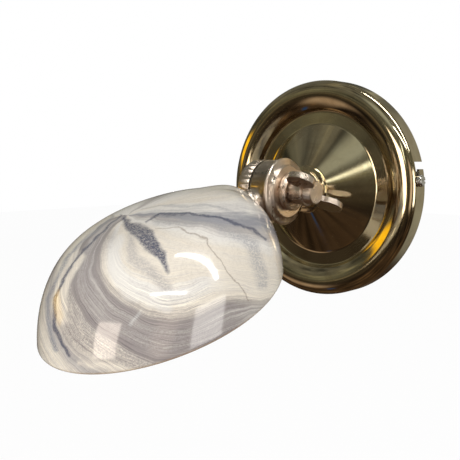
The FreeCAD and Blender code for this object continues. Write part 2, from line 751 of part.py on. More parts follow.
def make_fixed_half():
    """Half of the knuckle on the arm, closed at its end, with the bolt's thread."""
    inner, outer = seam_cone()
    width = S.fixed_width
    thread = S.bolt_radius + S.bolt_clearance
    bottom = S.bolt_depth + CLAMP_TRAVEL + 0.3
    floor = width - S.end_wall
    bevel = S.end_bevel
    outline = [
        (0, width), (S.knuckle_radius - bevel, width),
        (S.knuckle_radius - bevel * 0.3, width - bevel * 0.3),
        (S.knuckle_radius, width - bevel), (S.knuckle_radius, outer),
        (S.cavity_radius, inner), (S.cavity_radius, floor), (S.boss_radius, floor),
        (S.boss_radius, 1.4), (thread, 1.4), (thread, bottom), (0, bottom)]
    length = S.knuckle_reach - COLLAR_END
    spigot_end = S.knuckle_reach - ARM_NUT_BACK + 1.2
    return knuckle_half("knuckle_fixed_half", FIXED_HALF, outline, 0, length, spigot_end)


def make_moving_half():
    """Half of the knuckle on the shade's stem, with its bead and step."""
    inner, outer = seam_cone()
    hole = S.bolt_radius + S.bolt_hole_clearance
    floor = BEAD_END - S.end_wall
    bead = S.bead_radius
    soft = S.bead_width / 3
    step_bevel = S.edge_break * 2
    outline = [
        (hole, STEP_END), (S.step_radius - step_bevel, STEP_END),
        (S.step_radius, STEP_END - step_bevel), (S.step_radius, BEAD_END + 0.4),
        (bead - soft * 1.4, BEAD_END), (bead - soft * 0.4, BEAD_END - soft * 0.3),
        (bead, BEAD_END - soft), (bead, S.moving_width + soft),
        (bead - soft * 0.4, S.moving_width + soft * 0.3), (S.knuckle_radius, S.moving_width),
        (S.knuckle_radius, outer), (S.cavity_radius, inner), (S.cavity_radius, floor),
        (hole, floor)]
    spigot_end = HOLDER_START + 8
    return knuckle_half("knuckle_moving_half", MOVING_HALF, outline, 1, S.neck_length, spigot_end)


def make_pressure_washer():
    """Recessed washer that the thumb screw pushes against."""
    body = new_body("pressure_washer", along(KNUCKLE, Vector(0, 0, -1), AXIS_X))
    hole = S.bolt_radius + S.bolt_hole_clearance
    floor = WASHER_START + S.washer_floor
    ring = turn(body, [
        (hole, WASHER_START), (S.washer_radius, WASHER_START), (S.washer_radius, WASHER_END),
        (S.washer_recess, WASHER_END), (S.washer_recess, floor), (hole, floor)])
    soften(body, ring, [
        (S.washer_radius, WASHER_END), (S.washer_radius, WASHER_START)], S.edge_break * 2, True)
    return body


def make_thumb_screw():
    """Thumb screw: bolt, shank, collar and two round ears in one plane with the axis."""
    rise = math.radians(float(S.ear_angle))
    ear_way = Vector(0, -math.cos(rise), math.sin(rise))
    body = new_body("thumb_screw", along(KNUCKLE, ear_way, AXIS_X))
    shank = S.shank_radius
    collar_end = SHANK_END + S.thumb_collar_width
    stub = S.thumb_collar_radius - 1.2
    tip = S.ear_place + 0.6
    screw = turn(body, [
        (0, -S.bolt_depth), (S.bolt_radius, -S.bolt_depth), (S.bolt_radius, SHANK_START),
        (shank, SHANK_START), (shank, SHANK_END), (S.thumb_collar_radius, SHANK_END),
        (S.thumb_collar_radius, collar_end), (stub, collar_end), (stub, tip), (0, tip)])
    soften(body, screw, [
        (stub, tip), (S.thumb_collar_radius, collar_end), (S.thumb_collar_radius, SHANK_END),
        (S.bolt_radius, -S.bolt_depth)], S.edge_break, True)
    web = new_sketch(body, "XZ_Plane")
    low = collar_end + 0.2
    spread = S.ear_spread
    draw_outline(web, [
        (-spread, S.ear_place - 2.6), (-stub, low), (stub, low), (spread, S.ear_place - 2.6),
        (spread, S.ear_place + 5.0), (stub * 0.9, S.ear_place - 0.2),
        (-stub * 0.9, S.ear_place - 0.2), (-spread, S.ear_place + 5.0)])
    extrude(body, web, S.ear_thickness, both_ways=True)
    ears = new_sketch(body, "XZ_Plane")
    draw_circle(ears, spread, S.ear_place, S.ear_radius)
    draw_circle(ears, -spread, S.ear_place, S.ear_radius)
    extrude(body, ears, S.ear_thickness, both_ways=True)
    return body


# ---- the shade and its lamp -------------------------------------------------------------

def make_cup():
    """Dished cup that backs the shade on the stem."""
    body = new_body("shade_cup", ON_STEM)
    hole = SPIGOT_HOLE
    flat = S.cup_radius - 2.4
    turn(body, [
        (hole, CUP_START), (flat, CUP_START), (S.cup_radius, CUP_START + 0.9),
        (S.cup_radius, LAND_OUT - 0.2), (S.cup_radius - 0.9, LAND_OUT - 0.2),
        (flat - 0.4, SEAL_START), (hole, SEAL_START)])
    return body


def crown_curve(radius, height):
    """Half of the shade's crown: a full oval curve from the pole to the mouth."""
    power = float(S.shade_fullness)
    points = []
    steps = 14
    for step in range(steps + 1):
        angle = math.pi / 2 * step / steps
        across = math.sin(angle)
        up = math.sqrt(max(0.0, 1 - across ** power))
        points.append(Vector(radius * across, 0, height * up))
    curve = Part.BSplineCurve()
    curve.interpolate(Points=points, InitialTangent=AXIS_X, FinalTangent=Vector(0, 0, -1))
    return curve


def crown_solid(inset):
    """Closed crown, inset from the outer surface, leaning and stretched to its oval mouth."""
    radius = (float(S.shade_half_length) + float(S.shade_half_width)) / 2
    height = float(S.shade_height)
    curve = crown_curve(radius - inset, height - inset).toShape()
    low = Part.makeLine(Vector(radius - inset, 0, 0), Vector(0, 0, 0))
    axis = Part.makeLine(Vector(0, 0, 0), Vector(0, 0, height - inset))
    face = Part.Face(Part.Wire([curve, low, axis]))
    crown = face.revolve(Vector(), AXIS_Z, 360)
    stretch = FreeCAD.Matrix()
    stretch.A11 = float(S.shade_half_length) / radius
    stretch.A22 = float(S.shade_half_width) / radius
    stretch.A13 = -float(S.shade_lean) / height
    return crown.transformGeometry(stretch)


def shade_place(along_stem):
    """Turns a distance along the stem into the shade's own x."""
    return float(along_stem) - float(SHADE_REACH)


def holder_room():
    """Room for the lampholder's cap inside the shade, in the shade's own frame."""
    clear = float(S.holder_clearance)
    rim = float(S.holder_radius) + clear
    shoulder = float(S.holder_shoulder)
    start = Vector(shade_place(HOLDER_START), 0, float(S.shade_drop))
    cone = Part.makeCone(float(S.holder_waist_radius) + clear, rim, shoulder, start, AXIS_X)
    length = float(S.holder_cap_length) - shoulder
    return cone.fuse(Part.makeCylinder(rim, length, start + AXIS_X * shoulder, AXIS_X))


def make_shade():
    """Thin oval shell, open below, with a flat land and a hole for the stem."""
    height = float(S.shade_drop)
    land = Part.makeCylinder(
        float(S.land_radius), 11.0, Vector(shade_place(LAND_OUT), 0, height), AXIS_X)
    outer = crown_solid(0.0)
    inner = crown_solid(float(S.shade_wall))
    edge = Part.makeBox(400, 400, 200, Vector(shade_place(LAND_IN), -200, -1))
    face = Part.makeCylinder(
        float(S.land_radius) - 2.0, 9.0, Vector(shade_place(LAND_IN), 0, height), AXIS_X)
    shell = outer.fuse(land).cut(inner.common(edge)).cut(face)
    hole = Part.makeCylinder(
        float(SPIGOT_HOLE), 30, Vector(shade_place(LAND_OUT) - 5, 0, height), AXIS_X)
    shell = shell.cut(hole).cut(holder_room())
    node = doc.addObject("Part::Feature", "shade")
    node.Label = "shade"
    node.Shape = shell.Solids[0]
    middle = KNUCKLE + STEM_WAY * float(SHADE_REACH) + SHADE_UP * -height
    node.Placement = along(middle, STEM_WAY, SHADE_UP)
    return node


def make_holder_cap():
    """Domed cap of the lampholder, screwed on the stem's spigot."""
    body = new_body("lampholder_cap", ON_STEM)
    thread = S.spigot_radius + S.slack
    end = HOLDER_BODY
    wall = S.holder_wall
    waist = S.holder_waist_radius
    inner = S.holder_radius - wall
    shoulder = HOLDER_START + S.holder_shoulder
    boss_end = shoulder + wall
    turn(body, [
        (thread, HOLDER_START), (waist, HOLDER_START), (S.holder_radius, shoulder),
        (S.holder_radius, end), (inner, end), (inner, shoulder + wall / 2),
        (waist - wall * 0.7, HOLDER_START + wall), (thread + wall, HOLDER_START + wall),
        (thread + wall, boss_end), (thread, boss_end)])
    return body


def make_holder_body():
    """Lampholder's moulded body with the well for the lamp's cap."""
    body = new_body("lampholder_body", ON_STEM)
    start = HOLDER_BODY + S.slack
    skirt = S.holder_skirt_radius
    well = S.lamp_cap_radius + S.well_clearance
    floor = WELL_FLOOR
    band = S.holder_radius - skirt
    shell = turn(body, [
        (0, start), (S.holder_radius, start), (S.holder_radius, start + band * 3),
        (skirt, start + band * 4), (skirt, HOLDER_MOUTH), (well, HOLDER_MOUTH),
        (well, floor), (0, floor)])
    soften(body, shell, [(skirt, HOLDER_MOUTH)], S.edge_break * 2, True)
    return body


def make_screw_shell():
    """Brass liner that the lamp's cap screws into."""
    start = WELL_FLOOR + S.holder_wall
    inner = S.lamp_cap_radius + S.well_clearance - S.slack - S.liner_wall
    length = HOLDER_MOUTH - S.liner_inset - start
    return ring_node("lampholder_liner", ON_STEM, inner, inner + S.liner_wall, start, length)


def make_contact():
    """Centre contact at the bottom of the lampholder's well."""
    body = new_body("centre_contact", ON_STEM)
    start = WELL_FLOOR
    end = start + S.contact_height
    step = start + S.contact_height / 2
    rim = S.contact_radius
    turn(body, [
        (0, start), (rim, start), (rim, step), (rim * 0.5, step), (rim * 0.4, end), (0, end)])
    return body


def make_lamp_cap():
    """Screw cap of the lamp with its centre stud."""
    body = new_body("lamp_cap", ON_STEM)
    start = LAMP_START
    end = LAMP_FOOT
    rim = S.lamp_cap_radius
    turn(body, [
        (0, start), (rim * 0.24, start), (rim * 0.36, start + 0.9), (rim - 1, start + 1.6),
        (rim, start + 3), (rim, end - 1.2), (rim + 0.9, end), (0, end)])
    return body


def make_lamp_glass():
    """Small round lamp: a ball of glass on a neck that meets it as a tangent cone."""
    body = new_body("lamp_glass", ON_STEM)
    neck = float(S.lamp_cap_radius) + 0.4
    ball = float(S.lamp_radius)
    middle = float(S.lamp_glass_length) - ball
    slope = math.asin(ball / math.hypot(neck, middle)) - math.atan(neck / middle)
    foot = ways(0, 0, LAMP_FOOT)
    shaped(body, "AdditiveCone", foot, AXIS_Z, {
        "Radius1": neck, "Radius2": ball * math.cos(slope),
        "Height": middle - ball * math.sin(slope)})
    shaped(body, "AdditiveSphere", foot + Vector(0, 0, middle), AXIS_Z, {
        "Radius": S.lamp_radius})
    return body


# ---- the whole light --------------------------------------------------------------------

def make_all():
    """Builds every node of the light."""
    washer_hole = S.spigot_radius + 0.2
    nodes = [
        make_bracket(), make_side_screws(), make_terminal_block(), make_terminal_inserts(),
        make_terminal_screws(), make_block_screw(), make_earth_screw(), make_earth_washer(),
        make_cover(), make_collar(), make_fixed_half(), make_moving_half(),
        make_pressure_washer(), make_thumb_screw(), make_cup(), make_shade(),
        make_holder_cap(), make_holder_body(), make_screw_shell(), make_contact(),
        make_lamp_cap(), make_lamp_glass()]
    nodes.append(ring_node("arm_washer", ON_WALL, washer_hole, S.nut_flats * 0.6,
                           COVER_BACK - S.seal_thickness, S.seal_thickness))
    nodes.append(nut_node("arm_nut", ON_WALL, ARM_NUT_BACK))
    nodes.append(ring_node("outer_seal", ON_STEM, washer_hole, S.cup_radius - 3.6,
                           SEAL_START, S.seal_thickness))
    nodes.append(ring_node("inner_seal", ON_STEM, washer_hole, S.nut_flats * 0.62,
                           LAND_IN, S.seal_thickness))
    nodes.append(nut_node("shade_nut", ON_STEM, SHADE_NUT_START))
    return nodes


def save_all(nodes):
    """Checks every node, then writes each to its own file."""
    doc.recompute()
    for item in doc.Objects:
        if "Invalid" in item.State or "Error" in item.State:
            raise ValueError(item.Label + " failed: " + str(item.State))
    for node in nodes:
        if node.Shape.isNull() or not node.Shape.isValid():
            raise ValueError(node.Label + " has no valid shape")
    os.makedirs("parts", exist_ok=True)
    for node in nodes:
        node.Shape.exportStep("parts/" + node.Label + ".step")
        print("%-22s solids %d  volume %9.1f" % (
            node.Label, len(node.Shape.Solids), node.Shape.Volume))


save_all(make_all())
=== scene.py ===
import bpy
import bmesh
import math
from mathutils import Matrix, Vector


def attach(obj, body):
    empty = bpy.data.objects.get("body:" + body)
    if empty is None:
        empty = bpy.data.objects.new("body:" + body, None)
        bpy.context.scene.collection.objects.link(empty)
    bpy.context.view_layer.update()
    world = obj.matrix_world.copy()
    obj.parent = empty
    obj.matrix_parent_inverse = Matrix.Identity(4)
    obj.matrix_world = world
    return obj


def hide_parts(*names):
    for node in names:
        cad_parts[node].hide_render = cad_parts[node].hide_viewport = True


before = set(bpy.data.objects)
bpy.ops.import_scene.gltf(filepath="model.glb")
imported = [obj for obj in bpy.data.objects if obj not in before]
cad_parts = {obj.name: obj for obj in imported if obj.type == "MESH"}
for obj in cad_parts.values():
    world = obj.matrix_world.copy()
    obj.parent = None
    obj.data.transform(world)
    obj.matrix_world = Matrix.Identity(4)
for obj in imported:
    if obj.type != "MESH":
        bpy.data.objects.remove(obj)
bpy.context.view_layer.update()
print("frame loaded:", len(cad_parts), "nodes")

mm = 0.001
xWay = Vector((1, 0, 0))
yWay = Vector((0, 1, 0))
zWay = Vector((0, 0, 1))

# the stem leaves the knuckle 20 degrees below level, and the shade sits square on it
stem = {"knuckle": Vector((0, -55, 0)) * mm, "drop": math.radians(20)}
stemWay = Vector((0, -math.cos(stem["drop"]), -math.sin(stem["drop"])))
shadeUp = stemWay.cross(xWay)


# small helpers for node trees
def addNode(tree, kind, **settings):
    node = tree.nodes.new(kind)
    for name, value in settings.items():
        setattr(node, name, value)
    return node


def feed(tree, socket, value):
    if isinstance(value, bpy.types.NodeSocket):
        tree.links.new(value, socket)
    else:
        socket.default_value = value


def mathOf(tree, operation, *values, clamp=False):
    node = addNode(tree, "ShaderNodeMath", operation=operation, use_clamp=clamp)
    for socket, value in zip(node.inputs, values):
        feed(tree, socket, value)
    return node.outputs[0]


def timesOf(tree, first, second):
    return mathOf(tree, "MULTIPLY", first, second)


def vectorOf(tree, operation, *values, output="Vector"):
    node = addNode(tree, "ShaderNodeVectorMath", operation=operation)
    for socket, value in zip(node.inputs, values):
        feed(tree, socket, value)
    return node.outputs[output]


def scaleOf(tree, vector, factor):
    node = addNode(tree, "ShaderNodeVectorMath", operation="SCALE")
    feed(tree, node.inputs["Vector"], vector)
    feed(tree, node.inputs["Scale"], factor)
    return node.outputs["Vector"]


def stepOf(tree, value, low, high, start=0.0, end=1.0, kind="SMOOTHSTEP"):
    node = addNode(tree, "ShaderNodeMapRange", interpolation_type=kind)
    for name, part in (("Value", value), ("From Min", low), ("From Max", high),
                       ("To Min", start), ("To Max", end)):
        feed(tree, node.inputs[name], part)
    return node.outputs["Result"]


def joinXyz(tree, across, along, up):
    node = addNode(tree, "ShaderNodeCombineXYZ")
    for socket, value in zip(node.inputs, (across, along, up)):
        feed(tree, socket, value)
    return node.outputs[0]


def splitXyz(tree, vector):
    node = addNode(tree, "ShaderNodeSeparateXYZ")
    feed(tree, node.inputs[0], vector)
    return node.outputs


def noiseOf(tree, vector, scale, detail=4.0, rough=0.5, distortion=0.0, output="Fac"):
    node = addNode(tree, "ShaderNodeTexNoise")
    feed(tree, node.inputs["Vector"], vector)
    feed(tree, node.inputs["Scale"], scale)
    feed(tree, node.inputs["Detail"], detail)
    feed(tree, node.inputs["Roughness"], rough)
    feed(tree, node.inputs["Distortion"], distortion)
    return node.outputs[output]


def mixColour(tree, factor, first, second, blend="MIX"):
    node = addNode(tree, "ShaderNodeMix", data_type="RGBA", blend_type=blend)
    feed(tree, node.inputs[0], factor)
    feed(tree, node.inputs[6], first)
    feed(tree, node.inputs[7], second)
    return node.outputs[2]


def rampOf(tree, value, stops):
    node = addNode(tree, "ShaderNodeValToRGB")
    ramp = node.color_ramp
    ramp.interpolation = "EASE"
    while len(ramp.elements) < len(stops):
        ramp.elements.new(1.0)
    for element, (place, colour) in zip(ramp.elements, stops):
        element.position = place
        element.color = (*colour, 1)
    feed(tree, node.inputs[0], value)
    return node.outputs["Color"]


def newGroup(name, inputs, outputs, kind="ShaderNodeTree"):
    tree = bpy.data.node_groups.new(name, kind)
    for label, socketType, value in inputs:
        socket = tree.interface.new_socket(name=label, in_out="INPUT", socket_type=socketType)
        if value is not None:
            socket.default_value = value
    for label, socketType in outputs:
        tree.interface.new_socket(name=label, in_out="OUTPUT", socket_type=socketType)
    start = tree.nodes.new("NodeGroupInput")
    end = tree.nodes.new("NodeGroupOutput")
    return tree, start.outputs, end.inputs


def useGroup(tree, group, **values):
    node = addNode(tree, "ShaderNodeGroup", node_tree=group)
    for name, value in values.items():
        feed(tree, node.inputs[name], value)
    return node.outputs


def newMaterial(name):
    material = bpy.data.materials.new(name)
    material.use_nodes = True
    tree = material.node_tree
    return material, tree, tree.nodes["Principled BSDF"]


def objectPoint(tree):
    return addNode(tree, "ShaderNodeTexCoord").outputs["Object"]


def addBump(tree, shader, height, strength, depth):
    bump = addNode(tree, "ShaderNodeBump")
    bump.inputs["Distance"].default_value = depth * mm
    bump.inputs["Strength"].default_value = strength
    feed(tree, bump.inputs["Height"], height)
    tree.links.new(bump.outputs[0], shader.inputs["Normal"])


# two effects that several finishes share
wear = {  # a noise is detail, roughness and distortion, a step is from and to
    "lines": (3.0, 0.7), "smear": (5.0, 0.6, 0.8), "smearStep": (0.38, 0.68),
    "speck": (2.0, 0.6), "speckStep": (0.66, 0.74), "specksPerSmear": 22.0,
}


def makeLatheGroup():
    # fine lines left by turning or spinning, as a height that changes with the distance from an axis
    tree, given, result = newGroup(
        "latheLines",
        [("Point", "NodeSocketVector", None), ("Centre", "NodeSocketVector", (0, 0, 0)),
         ("Axis", "NodeSocketVector", (0, 1, 0)), ("Fineness", "NodeSocketFloat", 4000.0)],
        [("Height", "NodeSocketFloat")])
    offset = vectorOf(tree, "SUBTRACT", given["Point"], given["Centre"])
    along = vectorOf(tree, "DOT_PRODUCT", offset, given["Axis"], output="Value")
    flat = vectorOf(tree, "SUBTRACT", offset, scaleOf(tree, given["Axis"], along))
    radius = vectorOf(tree, "LENGTH", flat, output="Value")
    line = joinXyz(tree, timesOf(tree, radius, given["Fineness"]), 0.0, 0.0)
    feed(tree, result["Height"], noiseOf(tree, line, 1.0, *wear["lines"]))
    return tree


def makeHandlingGroup():
    # faint smears and specks that a handled part carries
    tree, given, result = newGroup(
        "handling",
        [("Point", "NodeSocketVector", None), ("Size", "NodeSocketFloat", 60.0)],
        [("Smear", "NodeSocketFloat"), ("Speck", "NodeSocketFloat")])
    smear = noiseOf(tree, given["Point"], given["Size"], *wear["smear"])
    speckSize = timesOf(tree, given["Size"], wear["specksPerSmear"])
    speck = noiseOf(tree, given["Point"], speckSize, *wear["speck"])
    feed(tree, result["Smear"], stepOf(tree, smear, *wear["smearStep"]))
    feed(tree, result["Speck"], stepOf(tree, speck, *wear["speckStep"]))
    return tree


latheGroup = makeLatheGroup()
handlingGroup = makeHandlingGroup()

# lines and smears roughen a metal by a share of its own roughness, specks by a fixed amount
polish = {"lineRough": 0.5, "smearRough": 0.7, "speckRough": 0.12, "bump": 0.35}


def polishedMetal(name, colour, tint, rough, turnedAbout, fineness, depth):
    material, tree, shader = newMaterial(name)
    point = objectPoint(tree)
    centre, axis = turnedAbout
    lines = useGroup(tree, latheGroup, Point=point, Centre=centre, Axis=axis, Fineness=fineness)
    marks = useGroup(tree, handlingGroup, Point=point)
    feed(tree, shader.inputs["Base Color"], mixColour(tree, marks["Smear"], (*colour, 1), (*tint, 1)))
    shader.inputs["Metallic"].default_value = 1.0
    lineRough = timesOf(tree, lines["Height"], rough * polish["lineRough"])
    smearRough = timesOf(tree, marks["Smear"], rough * polish["smearRough"])
    total = mathOf(tree, "ADD", mathOf(tree, "ADD", lineRough, smearRough), rough)
    speckRough = timesOf(tree, marks["Speck"], polish["speckRough"])
    feed(tree, shader.inputs["Roughness"], mathOf(tree, "ADD", total, speckRough))
    addBump(tree, shader, lines["Height"], polish["bump"], depth)
    return material


moulded = {"smearSize": 90.0, "smearShade": 0.8, "smearRough": 0.12,
           "grain": (2500.0, 2.0), "grainDepth": 0.02, "bump": 0.4}


def mouldedPlastic(name, colour, rough):
    material, tree, shader = newMaterial(name)
    point = objectPoint(tree)
    marks = useGroup(tree, handlingGroup, Point=point, Size=moulded["smearSize"])
    darker = tuple(part * moulded["smearShade"] for part in colour)
    feed(tree, shader.inputs["Base Color"], mixColour(tree, marks["Smear"], (*colour, 1), (*darker, 1)))
    smearRough = timesOf(tree, marks["Smear"], moulded["smearRough"])
    feed(tree, shader.inputs["Roughness"], mathOf(tree, "ADD", smearRough, rough))
    grain = noiseOf(tree, point, *moulded["grain"])
    addBump(tree, shader, grain, moulded["bump"], moulded["grainDepth"])
    return material


# the marbling is laid out on a plane through the pinch on the crown, seen from the front right,
# and its ground changes with the turn round the pinch
marble = {
    "pinch": Vector((-15.3, -137.7, -8.3)) * mm,
    "across": Vector((0.767, 0.642, 0.0)),
    "down": Vector((0.068, -0.082, -0.994)),
    "curl": 1.94,  # degrees of turn for each millimetre from the pinch
    "cream": (0.93, 0.86, 0.75),
    "white": (0.94, 0.91, 0.86),
    "lilac": (0.37, 0.335, 0.33),
    "paleLilac": (0.56, 0.525, 0.505),
    "blueGrey": (0.38, 0.385, 0.42),
    "slate": (0.085, 0.095, 0.155),
    "vein": (0.36, 0.28, 0.22),
    "rim": (0.42, 0.27, 0.13),
    "turns": (-70.0, 290.0),
    "ground": [(-60, "white"), (-38, "paleLilac"), (-25, "white"), (-14, "cream"), (-4, "white"),
               (4, "blueGrey"), (16, "paleLilac"), (34, "white"), (60, "cream"), (112, "cream"),
               (128, "white"), (141, "cream"), (152, "lilac"), (172, "paleLilac"), (180, "lilac"),
               (190, "cream"), (206, "cream"), (218, "paleLilac"), (232, "cream"), (248, "cream"),
               (275, "white")],
    "veins": [(0.36, (0.52, 0.50, 0.53)), (0.46, (0.84, 0.82, 0.82)), (0.54, (1.0, 1.0, 0.98)),
              (0.66, (1.36, 1.33, 1.26))],
}

# a noise is scale, detail, roughness and distortion, a step is from, to and the values there,
# and a stretch is along the turn and along the distance from the pinch
marbleGrain = {
    "sway": (26.0, 3.0), "swayReach": 9.0, "ripple": (95.0, 3.0), "rippleReach": 2.2,
    "curlStep": (3.0, 38.0), "flowStretch": (0.16, 0.012),
    "streak": (1.6, 9.0, 0.68), "streakShift": 26.0, "streakStep": (0.42, 0.62),
    "patch": (0.45, 3.0, 0.5), "patchStep": (0.40, 0.60), "patchStrength": 0.45,
    "fleck": (900.0, 3.0, 0.7), "fleckStep": (0.45, 0.62), "fleckStrength": 0.12,
    "veinStretch": (0.9, 0.05), "vein": (1.2, 8.0, 0.75, 1.1), "veinStep": (18.0, 36.0, 0.25, 1.0),
    "wobble": (120.0, 4.0, 0.6), "wobbleReach": 3.0,
    "breakStretch": (0.3, 0.25), "breaks": (1.4, 8.0, 0.75), "breakStep": (0.34, 0.60, 1.0, 0.0),
    "speckle": (1400.0, 2.0, 0.6), "speckleStep": (0.46, 0.56),
}

glaze = {"pits": (420.0, 3.0, 0.6), "pitStep": (0.3, 0.75, 0.07, 0.16), "specular": 0.6,
         "coat": 0.6, "coatRough": 0.03, "swell": (60.0, 3.0, 0.5), "bump": 0.25, "depth": 0.25}

# across, down and half width in mm at each point, then colour, softness, strength and graininess
marbleStrokes = {
    "leftFlow": ([(-6, 10, 3), (-15, 26, 6), (-12, 44, 9), (10, 55, 9), (48, 52, 8)],
                 "lilac", 4.5, 0.78, 0.5),
    "lowFlow": ([(4, 38, 5), (26, 49, 10), (46, 48, 7)], "lilac", 6.0, 0.7, 0.55),
    "rightCream": ([(46, 27, 5), (64, 31, 6)], "cream", 4.5, 0.85, 0.25),
    "leftCream": ([(-15.5, 18, 1.6), (-20.5, 32, 2.0), (-19, 42, 1.2)], "cream", 1.2, 0.9, 0.15),
    "innerCream": ([(0, 10, 1.5), (1, 22, 2.6), (8, 31, 2.2), (22, 35, 1.6)], "white", 1.5, 0.9, 0.25),
    "innerLilac": ([(4, 9, 1), (9, 19, 2.4), (22, 28, 2.0)], "paleLilac", 1.6, 0.8, 0.6),
    "lowCream": ([(-12, 58, 0.8), (6, 60, 1.4), (26, 61, 1.0)], "cream", 1.0, 0.85, 0.4),
    "leftLine": ([(-4, 0, 0.4), (-18.8, 20.8, 0.6), (-24.5, 33, 0.9), (-23, 45, 1.0), (-16, 55, 0.8)],
                 "slate", 0.5, 0.85, 0.3),
    "leftLineOuter": ([(-8, 1, 0.6), (-22.5, 18, 1.0), (-29.5, 34, 1.4), (-23, 54, 1.4)],
                      "blueGrey", 1.0, 0.9, 0.5),
    "crownArc": ([(9.5, 4.2, 0.3), (15, 1.4, 0.55), (28, 0.6, 0.65), (46, 3.2, 0.55), (62, 10.5, 0.45)],
                 "slate", 0.45, 0.85, 0.25),
    "crownBand": ([(14, 4.4, 0.9), (40, 5.0, 1.7), (56, 13, 2.4), (60, 28, 2.2)],
                  "blueGrey", 1.6, 0.6, 0.75),
    "crownLines": ([(6, -2.4, 0.4), (34, -3.4, 0.6), (62, 4, 0.4)], "blueGrey", 0.6, 0.55, 0.5),
    "brownVein": ([(14.5, 7.6, 0.12), (25, 6.8, 0.2), (38, 12, 0.22), (54, 34.6, 0.2)],
                  "vein", 0.25, 0.75, 0.3),
    "darkStreak": ([(-2.0, 0.8, 0.7), (4, 5.6, 2.0), (12, 10.8, 2.8), (19.5, 17.2, 1.7), (22.5, 23, 0.5)],
                   "slate", 0.9, 0.95, 0.4),
}


def makeStrokeGroup():
    # mask of a soft line between two points of the marbling plane
    labels = ("Across", "Down", "Start Across", "Start Down", "End Across", "End Down",
              "Start Width", "End Width", "Softness")
    tree, given, result = newGroup(
        "glazeStroke", [(label, "NodeSocketFloat", 0.0) for label in labels], [("Mask", "NodeSocketFloat")])
    start = joinXyz(tree, given["Start Across"], given["Start Down"], 0.0)
    end = joinXyz(tree, given["End Across"], given["End Down"], 0.0)
    here = vectorOf(tree, "SUBTRACT", joinXyz(tree, given["Across"], given["Down"], 0.0), start)
    run = vectorOf(tree, "SUBTRACT", end, start)
    along = vectorOf(tree, "DOT_PRODUCT", here, run, output="Value")
    runSquared = vectorOf(tree, "DOT_PRODUCT", run, run, output="Value")
    along = mathOf(tree, "DIVIDE", along, runSquared, clamp=True)
    away = vectorOf(tree, "SUBTRACT", here, scaleOf(tree, run, along))
    gap = vectorOf(tree, "LENGTH", away, output="Value")
    taper = mathOf(tree, "SUBTRACT", given["End Width"], given["Start Width"])
    width = mathOf(tree, "ADD", given["Start Width"], timesOf(tree, along, taper))
    feed(tree, result["Mask"], stepOf(
        tree, gap, mathOf(tree, "SUBTRACT", width, given["Softness"]),
        mathOf(tree, "ADD", width, given["Softness"]), 1.0, 0.0))
    return tree


